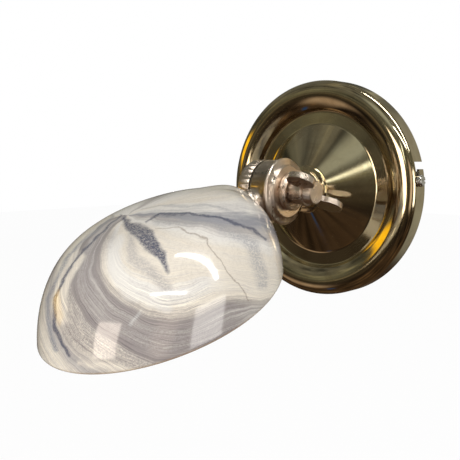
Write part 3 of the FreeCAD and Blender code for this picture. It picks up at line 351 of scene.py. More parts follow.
def makeMarbleMaterial():
    material, tree, shader = newMaterial("marbledGlaze")
    grain = marbleGrain
    grey = (0.5, 0.5, 0.5)  # a noise colour's middle
    point = objectPoint(tree)
    sway = vectorOf(tree, "SUBTRACT", noiseOf(tree, point, *grain["sway"], output="Color"), grey)
    ripple = vectorOf(tree, "SUBTRACT", noiseOf(tree, point, *grain["ripple"], output="Color"), grey)
    offset = vectorOf(tree, "SUBTRACT", point, tuple(marble["pinch"]))
    offset = vectorOf(tree, "ADD", offset, scaleOf(tree, sway, grain["swayReach"] * mm))
    offset = vectorOf(tree, "ADD", offset, scaleOf(tree, ripple, grain["rippleReach"] * mm))
    toMm = 1 / mm
    across = vectorOf(tree, "DOT_PRODUCT", offset, tuple(marble["across"] * toMm), output="Value")
    down = vectorOf(tree, "DOT_PRODUCT", offset, tuple(marble["down"] * toMm), output="Value")
    squares = mathOf(tree, "ADD", timesOf(tree, across, across), timesOf(tree, down, down))
    distance = mathOf(tree, "SQRT", squares)
    angle = timesOf(tree, mathOf(tree, "ARCTAN2", down, across), math.degrees(1))
    curl = stepOf(tree, angle, *grain["curlStep"], 0.0, marble["curl"])
    turn = mathOf(tree, "ADD", angle, timesOf(tree, distance, curl))

    def alongFlow(turnStretch, distanceStretch):
        return joinXyz(tree, timesOf(tree, turn, turnStretch), timesOf(tree, distance, distanceStretch), 0.0)

    # streaks that run along the flow
    flow = alongFlow(*grain["flowStretch"])
    streak = noiseOf(tree, flow, *grain["streak"])
    patch = noiseOf(tree, flow, *grain["patch"])
    shift = timesOf(tree, mathOf(tree, "SUBTRACT", streak, 0.5), grain["streakShift"])
    low, high = marble["turns"]
    place = stepOf(tree, mathOf(tree, "ADD", turn, shift), low, high, kind="LINEAR")
    ground = rampOf(tree, place, [((degrees - low) / (high - low), marble[colour])
                                  for degrees, colour in marble["ground"]])
    patch = timesOf(tree, stepOf(tree, streak, *grain["streakStep"]),
                    stepOf(tree, patch, *grain["patchStep"]))
    patch = timesOf(tree, patch, grain["patchStrength"])
    ground = mixColour(tree, patch, ground, (*marble["white"], 1))
    fleck = stepOf(tree, noiseOf(tree, point, *grain["fleck"]), *grain["fleckStep"])
    fleck = timesOf(tree, fleck, grain["fleckStrength"])
    ground = mixColour(tree, fleck, ground, (*marble["lilac"], 1), "MULTIPLY")
    # fine veins of light and dark along the flow, fainter on the crown
    vein = noiseOf(tree, alongFlow(*grain["veinStretch"]), *grain["vein"])
    veins = rampOf(tree, vein, marble["veins"])
    veined = stepOf(tree, down, *grain["veinStep"])
    wobble = noiseOf(tree, point, *grain["wobble"], output="Color")
    wobble = vectorOf(tree, "SUBTRACT", wobble, grey)
    wobble = splitXyz(tree, scaleOf(tree, wobble, grain["wobbleReach"]))
    strokeAcross = mathOf(tree, "ADD", across, wobble["X"])
    strokeDown = mathOf(tree, "ADD", down, wobble["Y"])
    # places where the grain breaks a stroke up
    breaks = noiseOf(tree, alongFlow(*grain["breakStretch"]), *grain["breaks"])
    broken = stepOf(tree, breaks, *grain["breakStep"])
    speckle = stepOf(tree, noiseOf(tree, point, *grain["speckle"]), *grain["speckleStep"])
    broken = mathOf(tree, "MAXIMUM", broken, speckle)
    stroke = makeStrokeGroup()
    for path, colour, softness, strength, grainy in marbleStrokes.values():
        mask = 0.0
        for first, last in zip(path, path[1:]):
            part = useGroup(tree, stroke, **{
                "Across": strokeAcross, "Down": strokeDown,
                "Start Across": first[0], "Start Down": first[1], "End Across": last[0],
                "End Down": last[1], "Start Width": first[2], "End Width": last[2],
                "Softness": softness})
            mask = mathOf(tree, "MAXIMUM", mask, part["Mask"])
        mask = timesOf(tree, mask, stepOf(tree, broken, 0.0, 1.0, 1.0 - grainy, 1.0))
        ground = mixColour(tree, timesOf(tree, mask, strength), ground, (*marble[colour], 1))
    ground = mixColour(tree, veined, ground, veins, "MULTIPLY")
    inner = addNode(tree, "ShaderNodeAttribute", attribute_name="inner").outputs["Fac"]
    lip = addNode(tree, "ShaderNodeAttribute", attribute_name="lip").outputs["Fac"]
    ground = mixColour(tree, inner, ground, (*marble["white"], 1))
    ground = mixColour(tree, lip, ground, (*marble["rim"], 1))
    feed(tree, shader.inputs["Base Color"], ground)
    pits = noiseOf(tree, point, *glaze["pits"])
    feed(tree, shader.inputs["Roughness"], stepOf(tree, pits, *glaze["pitStep"]))
    shader.inputs["Specular IOR Level"].default_value = glaze["specular"]
    shader.inputs["Coat Weight"].default_value = glaze["coat"]
    shader.inputs["Coat Roughness"].default_value = glaze["coatRough"]
    addBump(tree, shader, noiseOf(tree, point, *glaze["swell"]), glaze["bump"], glaze["depth"])
    return material


frosting = {"warm": (0.95, 0.86, 0.66), "pale": (0.98, 0.92, 0.8), "clouds": 70.0,
            "frost": 800.0, "frostStep": (0.2, 0.8, 0.25, 0.4), "glow": 0.6}


def makeLampMaterial():
    material, tree, shader = newMaterial("frostedLamp")
    point = objectPoint(tree)
    tone = mixColour(tree, noiseOf(tree, point, frosting["clouds"]),
                     (*frosting["warm"], 1), (*frosting["pale"], 1))
    feed(tree, shader.inputs["Base Color"], tone)
    frost = noiseOf(tree, point, frosting["frost"])
    feed(tree, shader.inputs["Roughness"], stepOf(tree, frost, *frosting["frostStep"]))
    feed(tree, shader.inputs["Emission Color"], tone)
    shader.inputs["Emission Strength"].default_value = frosting["glow"]
    return material


# a point and a direction for each axis that the turned lines run round
wallAxis = ((0, 0, 0), (0, 1, 0))
screwAxis = ((0, 0, 0), (1, 0, 0))
knuckleAxis = (tuple(stem["knuckle"]), (1, 0, 0))
stemAxis = (tuple(stem["knuckle"]), tuple(stemWay))

metals = {  # colour, colour of the smears, roughness, axis, fineness and depth in mm of the lines
    "plateNickel": ((0.58, 0.50, 0.335), (0.49, 0.405, 0.26), 0.06, wallAxis, 2600.0, 0.02),
    "turnedNickel": ((0.74, 0.635, 0.545), (0.62, 0.52, 0.43), 0.2, knuckleAxis, 5200.0, 0.008),
    "cupNickel": ((0.74, 0.635, 0.545), (0.62, 0.52, 0.43), 0.12, stemAxis, 4200.0, 0.02),
    "zincPlate": ((0.62, 0.65, 0.72), (0.5, 0.54, 0.62), 0.28, wallAxis, 4000.0, 0.02),
    "screwNickel": ((0.72, 0.70, 0.67), (0.6, 0.57, 0.52), 0.18, screwAxis, 4000.0, 0.02),
    "bareBrass": ((0.80, 0.62, 0.30), (0.66, 0.48, 0.22), 0.22, stemAxis, 4000.0, 0.02),
    "rolledTin": ((0.74, 0.73, 0.71), (0.62, 0.60, 0.57), 0.24, stemAxis, 4000.0, 0.02),
}
plastics = {  # colour and roughness
    "blockPlastic": ((0.80, 0.79, 0.74), 0.42),
    "holderPlastic": ((0.028, 0.027, 0.026), 0.34),
    "pressedFibre": ((0.32, 0.08, 0.06), 0.7),
}
finishes = {name: polishedMetal(name, *values) for name, values in metals.items()}
finishes.update({name: mouldedPlastic(name, *values) for name, values in plastics.items()})
finishes["marbledGlaze"] = makeMarbleMaterial()
finishes["frostedLamp"] = makeLampMaterial()
print("finishes made")


# how meshes are joined, shaded and worn at their edges, in millimetres and degrees
meshing = {"join": 0.002, "flatWithin": 0.2, "sharpAngle": 28, "wornAngle": 35, "wornSteps": 2}


def finishMesh(piece, material, sharpAngle=meshing["sharpAngle"]):
    mesh = piece.data
    if not mesh.materials:
        mesh.materials.append(material)
    mesh.shade_smooth()
    mesh.set_sharp_from_angle(angle=math.radians(sharpAngle))
    return piece


def pieceFrom(build, name, material):
    mesh = bpy.data.meshes.new(name)
    build.to_mesh(mesh)
    build.free()
    piece = bpy.data.objects.new(name, mesh)
    bpy.context.scene.collection.objects.link(piece)
    return finishMesh(piece, material)


def smoothCopy(node, name, material, body, bevel):
    # the CAD node's own form with joined faces, smooth curves and small worn edges
    build = bmesh.new()
    build.from_mesh(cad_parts[node].data)
    bmesh.ops.remove_doubles(build, verts=build.verts, dist=meshing["join"] * mm)
    bmesh.ops.dissolve_limit(build, angle_limit=math.radians(meshing["flatWithin"]),
                             verts=build.verts, edges=build.edges)
    piece = pieceFrom(build, name, material)
    if bevel:
        worn = piece.modifiers.new("wornEdges", "BEVEL")
        worn.width = bevel * mm
        worn.segments = meshing["wornSteps"]
        worn.limit_method = "ANGLE"
        worn.angle_limit = math.radians(meshing["wornAngle"])
        worn.harden_normals = True
    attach(piece, body)
    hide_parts(node)


def bake(piece, name, material):
    # turns what the modifiers make into one plain mesh
    graph = bpy.context.evaluated_depsgraph_get()
    mesh = bpy.data.meshes.new_from_object(piece.evaluated_get(graph))
    piece.modifiers.clear()
    mesh.name = name
    piece.data = mesh
    finishMesh(piece, material)


def matrixOf(base, across, along, up):
    turnMatrix = Matrix((across, along, up)).transposed().to_4x4()
    return Matrix.Translation(base) @ turnMatrix


onWall = matrixOf(Vector(), xWay, zWay, -yWay)
onStem = matrixOf(stem["knuckle"], xWay, shadeUp, stemWay)


def roundedCorners(corners, steps=8):
    # closed outline in millimetres; a third number at a corner is its rounding
    outline = []
    count = len(corners)
    for index, corner in enumerate(corners):
        here = Vector((corner[0], corner[1]))
        if len(corner) < 3:
            outline.append(here)
            continue
        before = Vector(corners[index - 1][:2])
        after = Vector(corners[(index + 1) % count][:2])
        back = (before - here).normalized()
        ahead = (after - here).normalized()
        half = back.angle(ahead) / 2
        reach = corner[2] / math.tan(half)
        middle = here + (back + ahead).normalized() * (corner[2] / math.sin(half))
        first = here + back * reach - middle
        last = here + ahead * reach - middle
        sweep = first.angle_signed(last)
        for step in range(steps + 1):
            turnBy = Matrix.Rotation(-sweep * step / steps, 2)
            outline.append(middle + turnBy @ first)
    return outline


def lathe(name, outline, place, material, segments):
    # a closed outline in millimetres, turned once round
    build = bmesh.new()
    rings = []
    for across, up in outline:
        ring = []
        for step in range(segments):
            turnBy = 2 * math.pi * step / segments
            ring.append(build.verts.new(place @ Vector((
                across * mm * math.cos(turnBy), across * mm * math.sin(turnBy), up * mm))))
        rings.append(ring)
    for index, ring in enumerate(rings):
        after = rings[(index + 1) % len(rings)]
        for step in range(segments):
            ahead = (step + 1) % segments
            build.faces.new([ring[step], ring[ahead], after[ahead], after[step]])
    bmesh.ops.recalc_face_normals(build, faces=build.faces)
    return pieceFrom(build, name, material)


def cutWith(piece, cutter):
    change = piece.modifiers.new("cut", "BOOLEAN")
    change.operation = "DIFFERENCE"
    change.object = cutter
    change.solver = "EXACT"


# the cover, in millimetres from its axis and out from the wall
coverSizes = {
    "rim": 60.0, "crest": 13.0, "shoulder": 4.5, "crestRadius": 53.0, "swell": 1.6, "crownSteps": 16,
    "riseRadius": 45.0, "riseHeight": 9.9, "riseRound": 0.2,
    "valleyRadius": 42.3, "valleyHeight": 7.4, "valleyWidth": 1.2, "valleyRounds": (0.8, 2.0),
    "coneRadius": 36.2, "coneFoot": 7.9, "coneRound": 3.5,
    "flatRadius": 13.0, "top": 20.5, "topRound": 1.5, "wall": 1.2, "hole": 5.25,
    # where the sheet's back turns, across and down from the turns of its face
    "backTop": -0.4, "backCone": (-0.3, 1.3), "backValley": 0.7, "backRise": (0.8, 1.0), "backCrest": -1.0,
    "slotWidth": 3.6, "slotHeight": 6.8, "slotPlay": 0.1, "slotCut": (51.0, 64.0),
    "screwAngle": 5.0, "twist": 7.6, "segments": 256,
}


def coverCrown(size):
    # the soft roll from the rim over the crest and down the swelling slope
    reach = size["rim"] - size["crestRadius"]
    base = size["crest"] - size["shoulder"]
    steps = size["crownSteps"]
    crown = []
    for step in range(steps + 1):
        turnBy = math.pi / 2 * step / steps
        crown.append((size["crestRadius"] + reach * math.cos(turnBy),
                      base + size["shoulder"] * math.sin(turnBy)))
    for step in range(1, steps):
        part = step / steps
        crown.append((size["crestRadius"] - (size["crestRadius"] - size["riseRadius"]) * part,
                      size["crest"] - (size["crest"] - size["riseHeight"]) * part ** size["swell"]))
    return crown


def coverOutline(size):
    wall = size["wall"]
    valleyOut = size["valleyRadius"] + size["valleyWidth"]
    outside = [(size["rim"], 0.0)] + coverCrown(size) + [
        (size["riseRadius"], size["riseHeight"], size["riseRound"]),
        (valleyOut, size["valleyHeight"], size["valleyRounds"][0]),
        (size["valleyRadius"], size["valleyHeight"], size["valleyRounds"][1]),
        (size["coneRadius"], size["coneFoot"], size["coneRound"]),
        (size["flatRadius"], size["top"], size["topRound"]),
        (size["hole"], size["top"])]
    inside = [
        (size["hole"], size["top"] - wall),
        (size["flatRadius"] + size["backTop"], size["top"] - wall),
        (size["coneRadius"] + size["backCone"][0], size["coneFoot"] - size["backCone"][1]),
        (valleyOut + size["backValley"], size["valleyHeight"] - wall),
        (size["riseRadius"] + size["backRise"][0], size["riseHeight"] - size["backRise"][1]),
        (size["crestRadius"] + size["backCrest"], size["crest"] - wall),
        (size["rim"] - wall, size["crest"] - wall, size["shoulder"] - wall),
        (size["rim"] - wall, 0.0)]
    return roundedCorners(outside + inside)


def slotCutter(size, side):
    # the bayonet slot: in from the wall edge, then round to the screw
    half, play = size["slotWidth"] / 2, size["slotPlay"]
    lock = size["rim"] * math.sin(math.radians(size["screwAngle"]))
    entry = size["rim"] * math.sin(math.radians(size["screwAngle"] + size["twist"]))
    low, mouth, high = lock - half - play, entry - half - play, entry + half + play
    top, bottom = size["slotHeight"] + half, size["slotHeight"] - half
    corners = [(mouth, -1), (high, -1), (high, top), (low, top), (low, bottom), (mouth, bottom)]
    build = bmesh.new()
    rings = [[build.verts.new(onWall @ (Vector((depth, across, up)) * mm)) for across, up in corners]
             for depth in size["slotCut"]]
    build.faces.new(rings[0])
    build.faces.new(rings[1][::-1])
    for index in range(len(corners)):
        ahead = (index + 1) % len(corners)
        build.faces.new([rings[0][ahead], rings[0][index], rings[1][index], rings[1][ahead]])
    bmesh.ops.recalc_face_normals(build, faces=build.faces)
    if side < 0:
        bmesh.ops.rotate(build, verts=build.verts, matrix=Matrix.Rotation(math.pi, 3, "Y"))
    return pieceFrom(build, "slotCutter", finishes["plateNickel"])


def makeCover(size):
    plated = finishes["plateNickel"]
    cover = lathe("cover_shell", coverOutline(size), onWall, plated, size["segments"])
    cutters = [slotCutter(size, side) for side in (1, -1)]
    for cutter in cutters:
        cutWith(cover, cutter)
    bake(cover, "cover_shell", plated)
    for cutter in cutters:
        bpy.data.objects.remove(cutter)
    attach(cover, "cover_and_arm")
    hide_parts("cover")


makeCover(coverSizes)
print("cover made")


# the shade, in millimetres
shadeSizes = {
    "halfLength": 59.0, "halfWidth": 52.3, "height": 38.2, "lean": 11.4, "fullness": 4.17, "wall": 3.0,
    "reach": 87.9, "drop": 17.5, "hole": 5.25,
    "landOut": 26.3, "landIn": 30.7, "landRadius": 12.0, "landLimit": 60.0,
    "landFade": (0.95, 1.65),  # times the land's radius
    "drillMiddle": 30.0, "drillDepth": 20.0, "drillSides": 64,
    "steps": 44, "around": 160, "lipSteps": 12, "lipStart": 1.3, "join": 0.01, "sharpAngle": 60,
}


def shadeProfile(size):
    # outer curve from the pole to the lip, the lip's half round, then the inner curve back to the pole
    radius = (size["halfLength"] + size["halfWidth"]) / 2
    lip = size["wall"] / 2
    rows = []
    for inset, inner in ((0.0, 0.0), (size["wall"], 1.0)):
        curve = []
        for step in range(size["steps"] + 1):
            turnBy = math.pi / 2 * step / size["steps"]
            across = math.sin(turnBy)
            up = math.sqrt(max(0.0, 1 - across ** size["fullness"]))
            curve.append(((radius - inset) * across, (size["height"] - inset) * up, inner, 0.0))
        curve = [row for row in curve if row[1] > lip * size["lipStart"]]
        rows.append(curve)
    turnRows = []
    for step in range(size["lipSteps"] + 1):
        turnBy = math.pi * step / size["lipSteps"]
        turnRows.append((radius - lip + lip * math.cos(turnBy), lip - lip * math.sin(turnBy),
                         0.5 - 0.5 * math.cos(turnBy), math.sin(turnBy)))
    return rows[0] + turnRows + rows[1][::-1]


def shadeTree(size):
    # turns the profile round, stretches it to the oval mouth, leans the crown
    # and draws the back out to its flat land
    sizes = [("Around", "NodeSocketInt", 160), ("Rows", "NodeSocketInt", 80),
             ("Length Stretch", "NodeSocketFloat", 1.0), ("Width Stretch", "NodeSocketFloat", 1.0),
             ("Lean", "NodeSocketFloat", 0.0), ("Middle", "NodeSocketVector", None),
             ("Front", "NodeSocketVector", None), ("Side", "NodeSocketVector", None),
             ("Up", "NodeSocketVector", None), ("Stem Foot", "NodeSocketVector", None),
             ("Land Radius", "NodeSocketFloat", 0.012), ("Land Out", "NodeSocketFloat", 0.026),
             ("Land In", "NodeSocketFloat", 0.031), ("Glaze", "NodeSocketMaterial", None)]
    tree, given, result = newGroup("shadeShell", [("Profile", "NodeSocketGeometry", None)] + sizes,
                                   [("Shell", "NodeSocketGeometry")], "GeometryNodeTree")
    grid = addNode(tree, "GeometryNodeMeshGrid")
    columns = mathOf(tree, "ADD", given["Around"], 1.0)
    feed(tree, grid.inputs["Vertices X"], columns)
    feed(tree, grid.inputs["Vertices Y"], given["Rows"])
    index = addNode(tree, "GeometryNodeInputIndex").outputs[0]
    row = mathOf(tree, "FLOORED_MODULO", index, given["Rows"])
    column = mathOf(tree, "FLOOR", mathOf(tree, "DIVIDE", index, given["Rows"]))
    turnBy = timesOf(tree, mathOf(tree, "DIVIDE", column, given["Around"]), 2 * math.pi)

    def fromProfile(kind, value):
        sample = addNode(tree, "GeometryNodeSampleIndex", data_type=kind)
        feed(tree, sample.inputs["Geometry"], given["Profile"])
        feed(tree, sample.inputs["Value"], value)
        feed(tree, sample.inputs["Index"], row)
        return sample.outputs[0]

    spot = splitXyz(tree, fromProfile(
        "FLOAT_VECTOR", addNode(tree, "GeometryNodeInputPosition").outputs[0]))
    masks = {}
    for label in ("inner", "lip"):
        reader = addNode(tree, "GeometryNodeInputNamedAttribute", data_type="FLOAT")
        reader.inputs["Name"].default_value = label
        masks[label] = fromProfile("FLOAT", reader.outputs["Attribute"])
    forward = timesOf(tree, timesOf(tree, spot["X"], given["Length Stretch"]), mathOf(tree, "COSINE", turnBy))
    forward = mathOf(tree, "SUBTRACT", forward, timesOf(tree, spot["Z"], given["Lean"]))
    sideways = timesOf(tree, timesOf(tree, spot["X"], given["Width Stretch"]), mathOf(tree, "SINE", turnBy))
    place = vectorOf(tree, "ADD", given["Middle"], scaleOf(tree, given["Front"], forward))
    place = vectorOf(tree, "ADD", place, scaleOf(tree, given["Side"], sideways))
    place = vectorOf(tree, "ADD", place, scaleOf(tree, given["Up"], spot["Z"]))
    # near the stem's line the wall is drawn out to the land
    fromFoot = vectorOf(tree, "SUBTRACT", place, given["Stem Foot"])
    along = vectorOf(tree, "DOT_PRODUCT", fromFoot, given["Front"], output="Value")
    offAxis = vectorOf(tree, "SUBTRACT", fromFoot, scaleOf(tree, given["Front"], along))
    away = vectorOf(tree, "LENGTH", offAxis, output="Value")
    fadeStart, fadeEnd = (timesOf(tree, given["Land Radius"], part)
                          for part in size["landFade"])
    near = stepOf(tree, away, fadeStart, fadeEnd, 1.0, 0.0)
    near = timesOf(tree, near, mathOf(tree, "LESS_THAN", along, size["landLimit"] * mm))
    outer = mathOf(tree, "SUBTRACT", 1.0, masks["inner"])
    landing = mathOf(tree, "ADD", timesOf(tree, given["Land In"], masks["inner"]),
                     timesOf(tree, given["Land Out"], outer))
    pull = timesOf(tree, mathOf(tree, "SUBTRACT", landing, along), near)
    place = vectorOf(tree, "ADD", place, scaleOf(tree, given["Front"], pull))
    stored = grid.outputs["Mesh"]
    for label in ("inner", "lip"):
        keeper = addNode(tree, "GeometryNodeStoreNamedAttribute", data_type="FLOAT", domain="POINT")
        keeper.inputs["Name"].default_value = label
        feed(tree, keeper.inputs["Geometry"], stored)
        feed(tree, keeper.inputs["Value"], masks[label])
        stored = keeper.outputs["Geometry"]
    moved = addNode(tree, "GeometryNodeSetPosition")
    feed(tree, moved.inputs["Geometry"], stored)
    feed(tree, moved.inputs["Position"], place)
    merged = addNode(tree, "GeometryNodeMergeByDistance")
    feed(tree, merged.inputs["Geometry"], moved.outputs[0])
    merged.inputs["Distance"].default_value = size["join"] * mm
    real = addNode(tree, "GeometryNodeRealizeInstances")
    feed(tree, real.inputs[0], merged.outputs[0])
    glazed = addNode(tree, "GeometryNodeSetMaterial")
    feed(tree, glazed.inputs["Geometry"], real.outputs[0])
    feed(tree, glazed.inputs["Material"], given["Glaze"])
    feed(tree, result["Shell"], glazed.outputs[0])
    return tree


def setInputs(modifier, values):
    for item in modifier.node_group.interface.items_tree:
        if item.item_type == "SOCKET" and item.in_out == "INPUT" and item.name in values:
            modifier[item.identifier] = values[item.name]


def stemDrill(size):
    # the hole that the stem's spigot goes through
    radius = size["hole"] * mm
    build = bmesh.new()
    bmesh.ops.create_cone(build, cap_ends=True, segments=size["drillSides"],
                          radius1=radius, radius2=radius, depth=size["drillDepth"] * mm,
                          matrix=onStem @ Matrix.Translation((0, 0, size["drillMiddle"] * mm)))
    return pieceFrom(build, "stemDrill", finishes["marbledGlaze"])


def makeShade(size):
    marbledGlaze = finishes["marbledGlaze"]
    rows = shadeProfile(size)
    mesh = bpy.data.meshes.new("shade_shell")
    mesh.from_pydata([(across * mm, 0, up * mm) for across, up, inner, lip in rows],
                     [(index, index + 1) for index in range(len(rows) - 1)], [])
    for label, column in (("inner", 2), ("lip", 3)):
        values = mesh.attributes.new(label, "FLOAT", "POINT")
        values.data.foreach_set("value", [row[column] for row in rows])
    shade = bpy.data.objects.new("shade_shell", mesh)
    bpy.context.scene.collection.objects.link(shade)
    radius = (size["halfLength"] + size["halfWidth"]) / 2
    modifier = shade.modifiers.new("shell", "NODES")
    modifier.node_group = shadeTree(size)
    middle = stem["knuckle"] + stemWay * size["reach"] * mm - shadeUp * size["drop"] * mm
    setInputs(modifier, {
        "Around": size["around"], "Rows": len(rows), "Length Stretch": size["halfLength"] / radius,
        "Width Stretch": size["halfWidth"] / radius, "Lean": size["lean"] / size["height"],
        "Middle": middle, "Front": stemWay, "Side": xWay, "Up": shadeUp, "Stem Foot": stem["knuckle"],
        "Land Radius": size["landRadius"] * mm, "Land Out": size["landOut"] * mm,
        "Land In": size["landIn"] * mm, "Glaze": marbledGlaze})
    bake(shade, "shade_shell", marbledGlaze)
    build = bmesh.new()
    build.from_mesh(shade.data)
    bmesh.ops.recalc_face_normals(build, faces=build.faces)
    build.to_mesh(shade.data)
    build.free()
    drill = stemDrill(size)
    cutWith(shade, drill)
    bake(shade, "shade_shell", marbledGlaze)
    bpy.data.objects.remove(drill)
    finishMesh(shade, marbledGlaze, size["sharpAngle"])
    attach(shade, "head")
    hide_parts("shade")


makeShade(shadeSizes)
print("shade made")


# the turned and small pieces: CAD node, piece, finish, body and width of the worn edge in mm
smallPieces = [
    ("wall_bracket", "bracket_strap", "zincPlate", "base", 0.15),
    ("side_screws", "side_screw_pair", "screwNickel", "base", 0.08),
    ("terminal_block", "terminal_block_body", "blockPlastic", "base", 0.2),
    ("terminal_inserts", "terminal_tubes", "bareBrass", "base", 0.0),
    ("terminal_screws", "terminal_clamp_screws", "screwNickel", "base", 0.05),
    ("terminal_block_screw", "block_fixing_screw", "screwNickel", "base", 0.05),
    ("earth_screw", "earth_screw_brass", "bareBrass", "base", 0.08),
    ("earth_washer", "earth_washer_brass", "bareBrass", "base", 0.05),
    ("arm_collar", "stepped_collar", "plateNickel", "cover_and_arm", 0.12),
    ("knuckle_fixed_half", "knuckle_arm_side", "turnedNickel", "cover_and_arm", 0.0),
    ("arm_washer", "arm_fibre_washer", "pressedFibre", "cover_and_arm", 0.0),
    ("arm_nut", "arm_hex_nut", "bareBrass", "cover_and_arm", 0.15),
    ("pressure_washer", "recessed_washer", "turnedNickel", "clamp", 0.1),
    ("thumb_screw", "thumb_screw_eared", "turnedNickel", "thumb", 0.35),
    ("knuckle_moving_half", "knuckle_shade_side", "turnedNickel", "head", 0.0),
    ("shade_cup", "dished_cup", "cupNickel", "head", 0.0),
    ("outer_seal", "outer_fibre_seal", "pressedFibre", "head", 0.0),
    ("inner_seal", "inner_fibre_seal", "pressedFibre", "head", 0.0),
    ("shade_nut", "shade_hex_nut", "bareBrass", "head", 0.15),
    ("lampholder_cap", "holder_cap", "holderPlastic", "head", 0.15),
    ("lampholder_body", "holder_body", "holderPlastic", "head", 0.15),
    ("lampholder_liner", "holder_liner", "bareBrass", "head", 0.0),
    ("centre_contact", "holder_contact", "bareBrass", "head", 0.0),
    ("lamp_cap", "lamp_screw_cap", "rolledTin", "head", 0.0),
    ("lamp_glass", "lamp_ball", "frostedLamp", "head", 0.0),
]
for node, name, finish, body, bevel in smallPieces:
    smoothCopy(node, name, finishes[finish], body, bevel)
print("small pieces made")


def directionOf(azimuth, elevation):
    # degrees round from the front and up from level
    azimuth, elevation = math.radians(azimuth), math.radians(elevation)
    return Vector((math.sin(azimuth) * math.cos(elevation), -math.cos(azimuth) * math.cos(elevation),
                   math.sin(elevation)))


# the photograph's view, with the pixel of its frame that the cover's middle falls on
view = {"azimuth": 40.6, "elevation": 5.4, "distance": 425.0, "focal": 742.0, "frame": 460.0,
        "plateAcross": 327.3, "plateDown": 187.9, "sensor": 36.0, "clip": (0.01, 20)}


def makeCamera(setup):
    back = directionOf(setup["azimuth"], setup["elevation"])
    right = (-back).cross(zWay).normalized()
    up = right.cross(-back)
    half = setup["frame"] / 2
    acrossOff = (setup["plateAcross"] - half) / setup["focal"] * setup["distance"]
    upOff = -(setup["plateDown"] - half) / setup["focal"] * setup["distance"]
    data = bpy.data.cameras.new("viewCamera")
    data.sensor_width = setup["sensor"]
    data.lens = setup["focal"] / setup["frame"] * setup["sensor"]
    data.clip_start, data.clip_end = setup["clip"]
    camera = bpy.data.objects.new("viewCamera", data)
    bpy.context.scene.collection.objects.link(camera)
    place = (back * setup["distance"] - right * acrossOff - up * upOff) * mm
    camera.matrix_world = matrixOf(place, right, up, back)
    bpy.context.scene.camera = camera


makeCamera(view)

lampTarget = Vector((0, -90, -20)) * mm
lamps = {  # azimuth, elevation, distance, width, height, power, colour
    "windowLeft": (-5, 6, 1.3, 0.5, 0.5, 5.4, (1.0, 0.98, 0.94)),
    "windowRight": (70, 24, 1.3, 0.6, 0.6, 4.4, (1.0, 0.98, 0.95)),
    "overheadSoft": (10, 70, 1.5, 1.0, 1.0, 5.0, (1.0, 0.96, 0.90)),
    "backSoft": (175, 35, 1.6, 1.0, 1.0, 3.0, (1.0, 0.92, 0.83)),
}


def makeLamps(setups):
    # these light the surfaces; what shows in the polish is the room below
    for name, (azimuth, elevation, distance, width, height, power, colour) in setups.items():
        data = bpy.data.lights.new(name, "AREA")
        data.shape = "RECTANGLE"
        data.size, data.size_y = width, height
        data.energy = power
        data.color = colour
        lamp = bpy.data.objects.new(name, data)
        bpy.context.scene.collection.objects.link(lamp)
        way = directionOf(azimuth, elevation)
        lamp.location = lampTarget + way * distance
        lamp.rotation_euler = way.to_track_quat("Z", "Y").to_euler()
        lamp.visible_glossy = False


makeLamps(lamps)

roomWalls = {  # shades from straight down to straight up, and the clutter that varies them
    "radius": 3.0, "columns": 48, "rows": 24,
    "shades": [(0.08, (0.08, 0.05, 0.03)), (0.20, (0.04, 0.028, 0.020)), (0.36, (0.075, 0.060, 0.040)),
               (0.50, (0.115, 0.10, 0.072)), (0.70, (0.16, 0.158, 0.118)), (0.92, (0.22, 0.215, 0.18))],
    "clutterSize": 4.2, "clutter": (1.0, 5.0, 0.55),
    "clutterShades": [(0.32, (0.22, 0.22, 0.22)), (0.52, (0.9, 0.9, 0.9)), (0.70, (2.4, 2.3, 2.0))],
}
roomThings = {  # one end, other end, half width, softness, strength, colour
    "windowLeft": ((-12, 2), (9, 2), 0.22, 0.02, 5.4, (1.0, 0.87, 0.74)),
    "windowRight": ((72, 0), (100, 0), 0.25, 0.02, 3.6, (1.0, 0.97, 0.93)),
    "tubeHigh": ((5, 80), (92, 30), 0.035, 0.012, 22.0, (1.0, 1.0, 0.98)),
    "tubeFront": ((26, 37), (62, 30), 0.022, 0.01, 15.0, (1.0, 1.0, 0.98)),
    "shelfEdge": ((17, 12), (24, 24), 0.03, 0.02, 2.8, (0.95, 1.0, 0.92)),
    "paleWall": ((-12, 38), (20, 32), 0.14, 0.12, 0.5, (0.95, 1.0, 0.90)),
    "warmLamp": ((-77, 11), (-53, 5), 0.065, 0.03, 1.9, (1.0, 0.58, 0.02)),
    "paleTable": ((-60, -30), (-34, -28), 0.12, 0.10, 0.5, (1.0, 0.74, 0.56)),
    "greyWall": ((-120, 40), (-60, 60), 0.4, 0.3, 0.18, (0.95, 0.97, 0.90)),
    "blueBox": ((-38, -50), (-36, -43), 0.03, 0.015, 0.22, (0.12, 0.34, 1.0)),
    "warmDoor": ((44, -14), (52, 16), 0.16, 0.08, 1.1, (1.0, 0.80, 0.64)),
    "backWall": ((140, -20), (175, 30), 0.7, 0.3, 0.42, (0.95, 0.93, 0.80)),
}


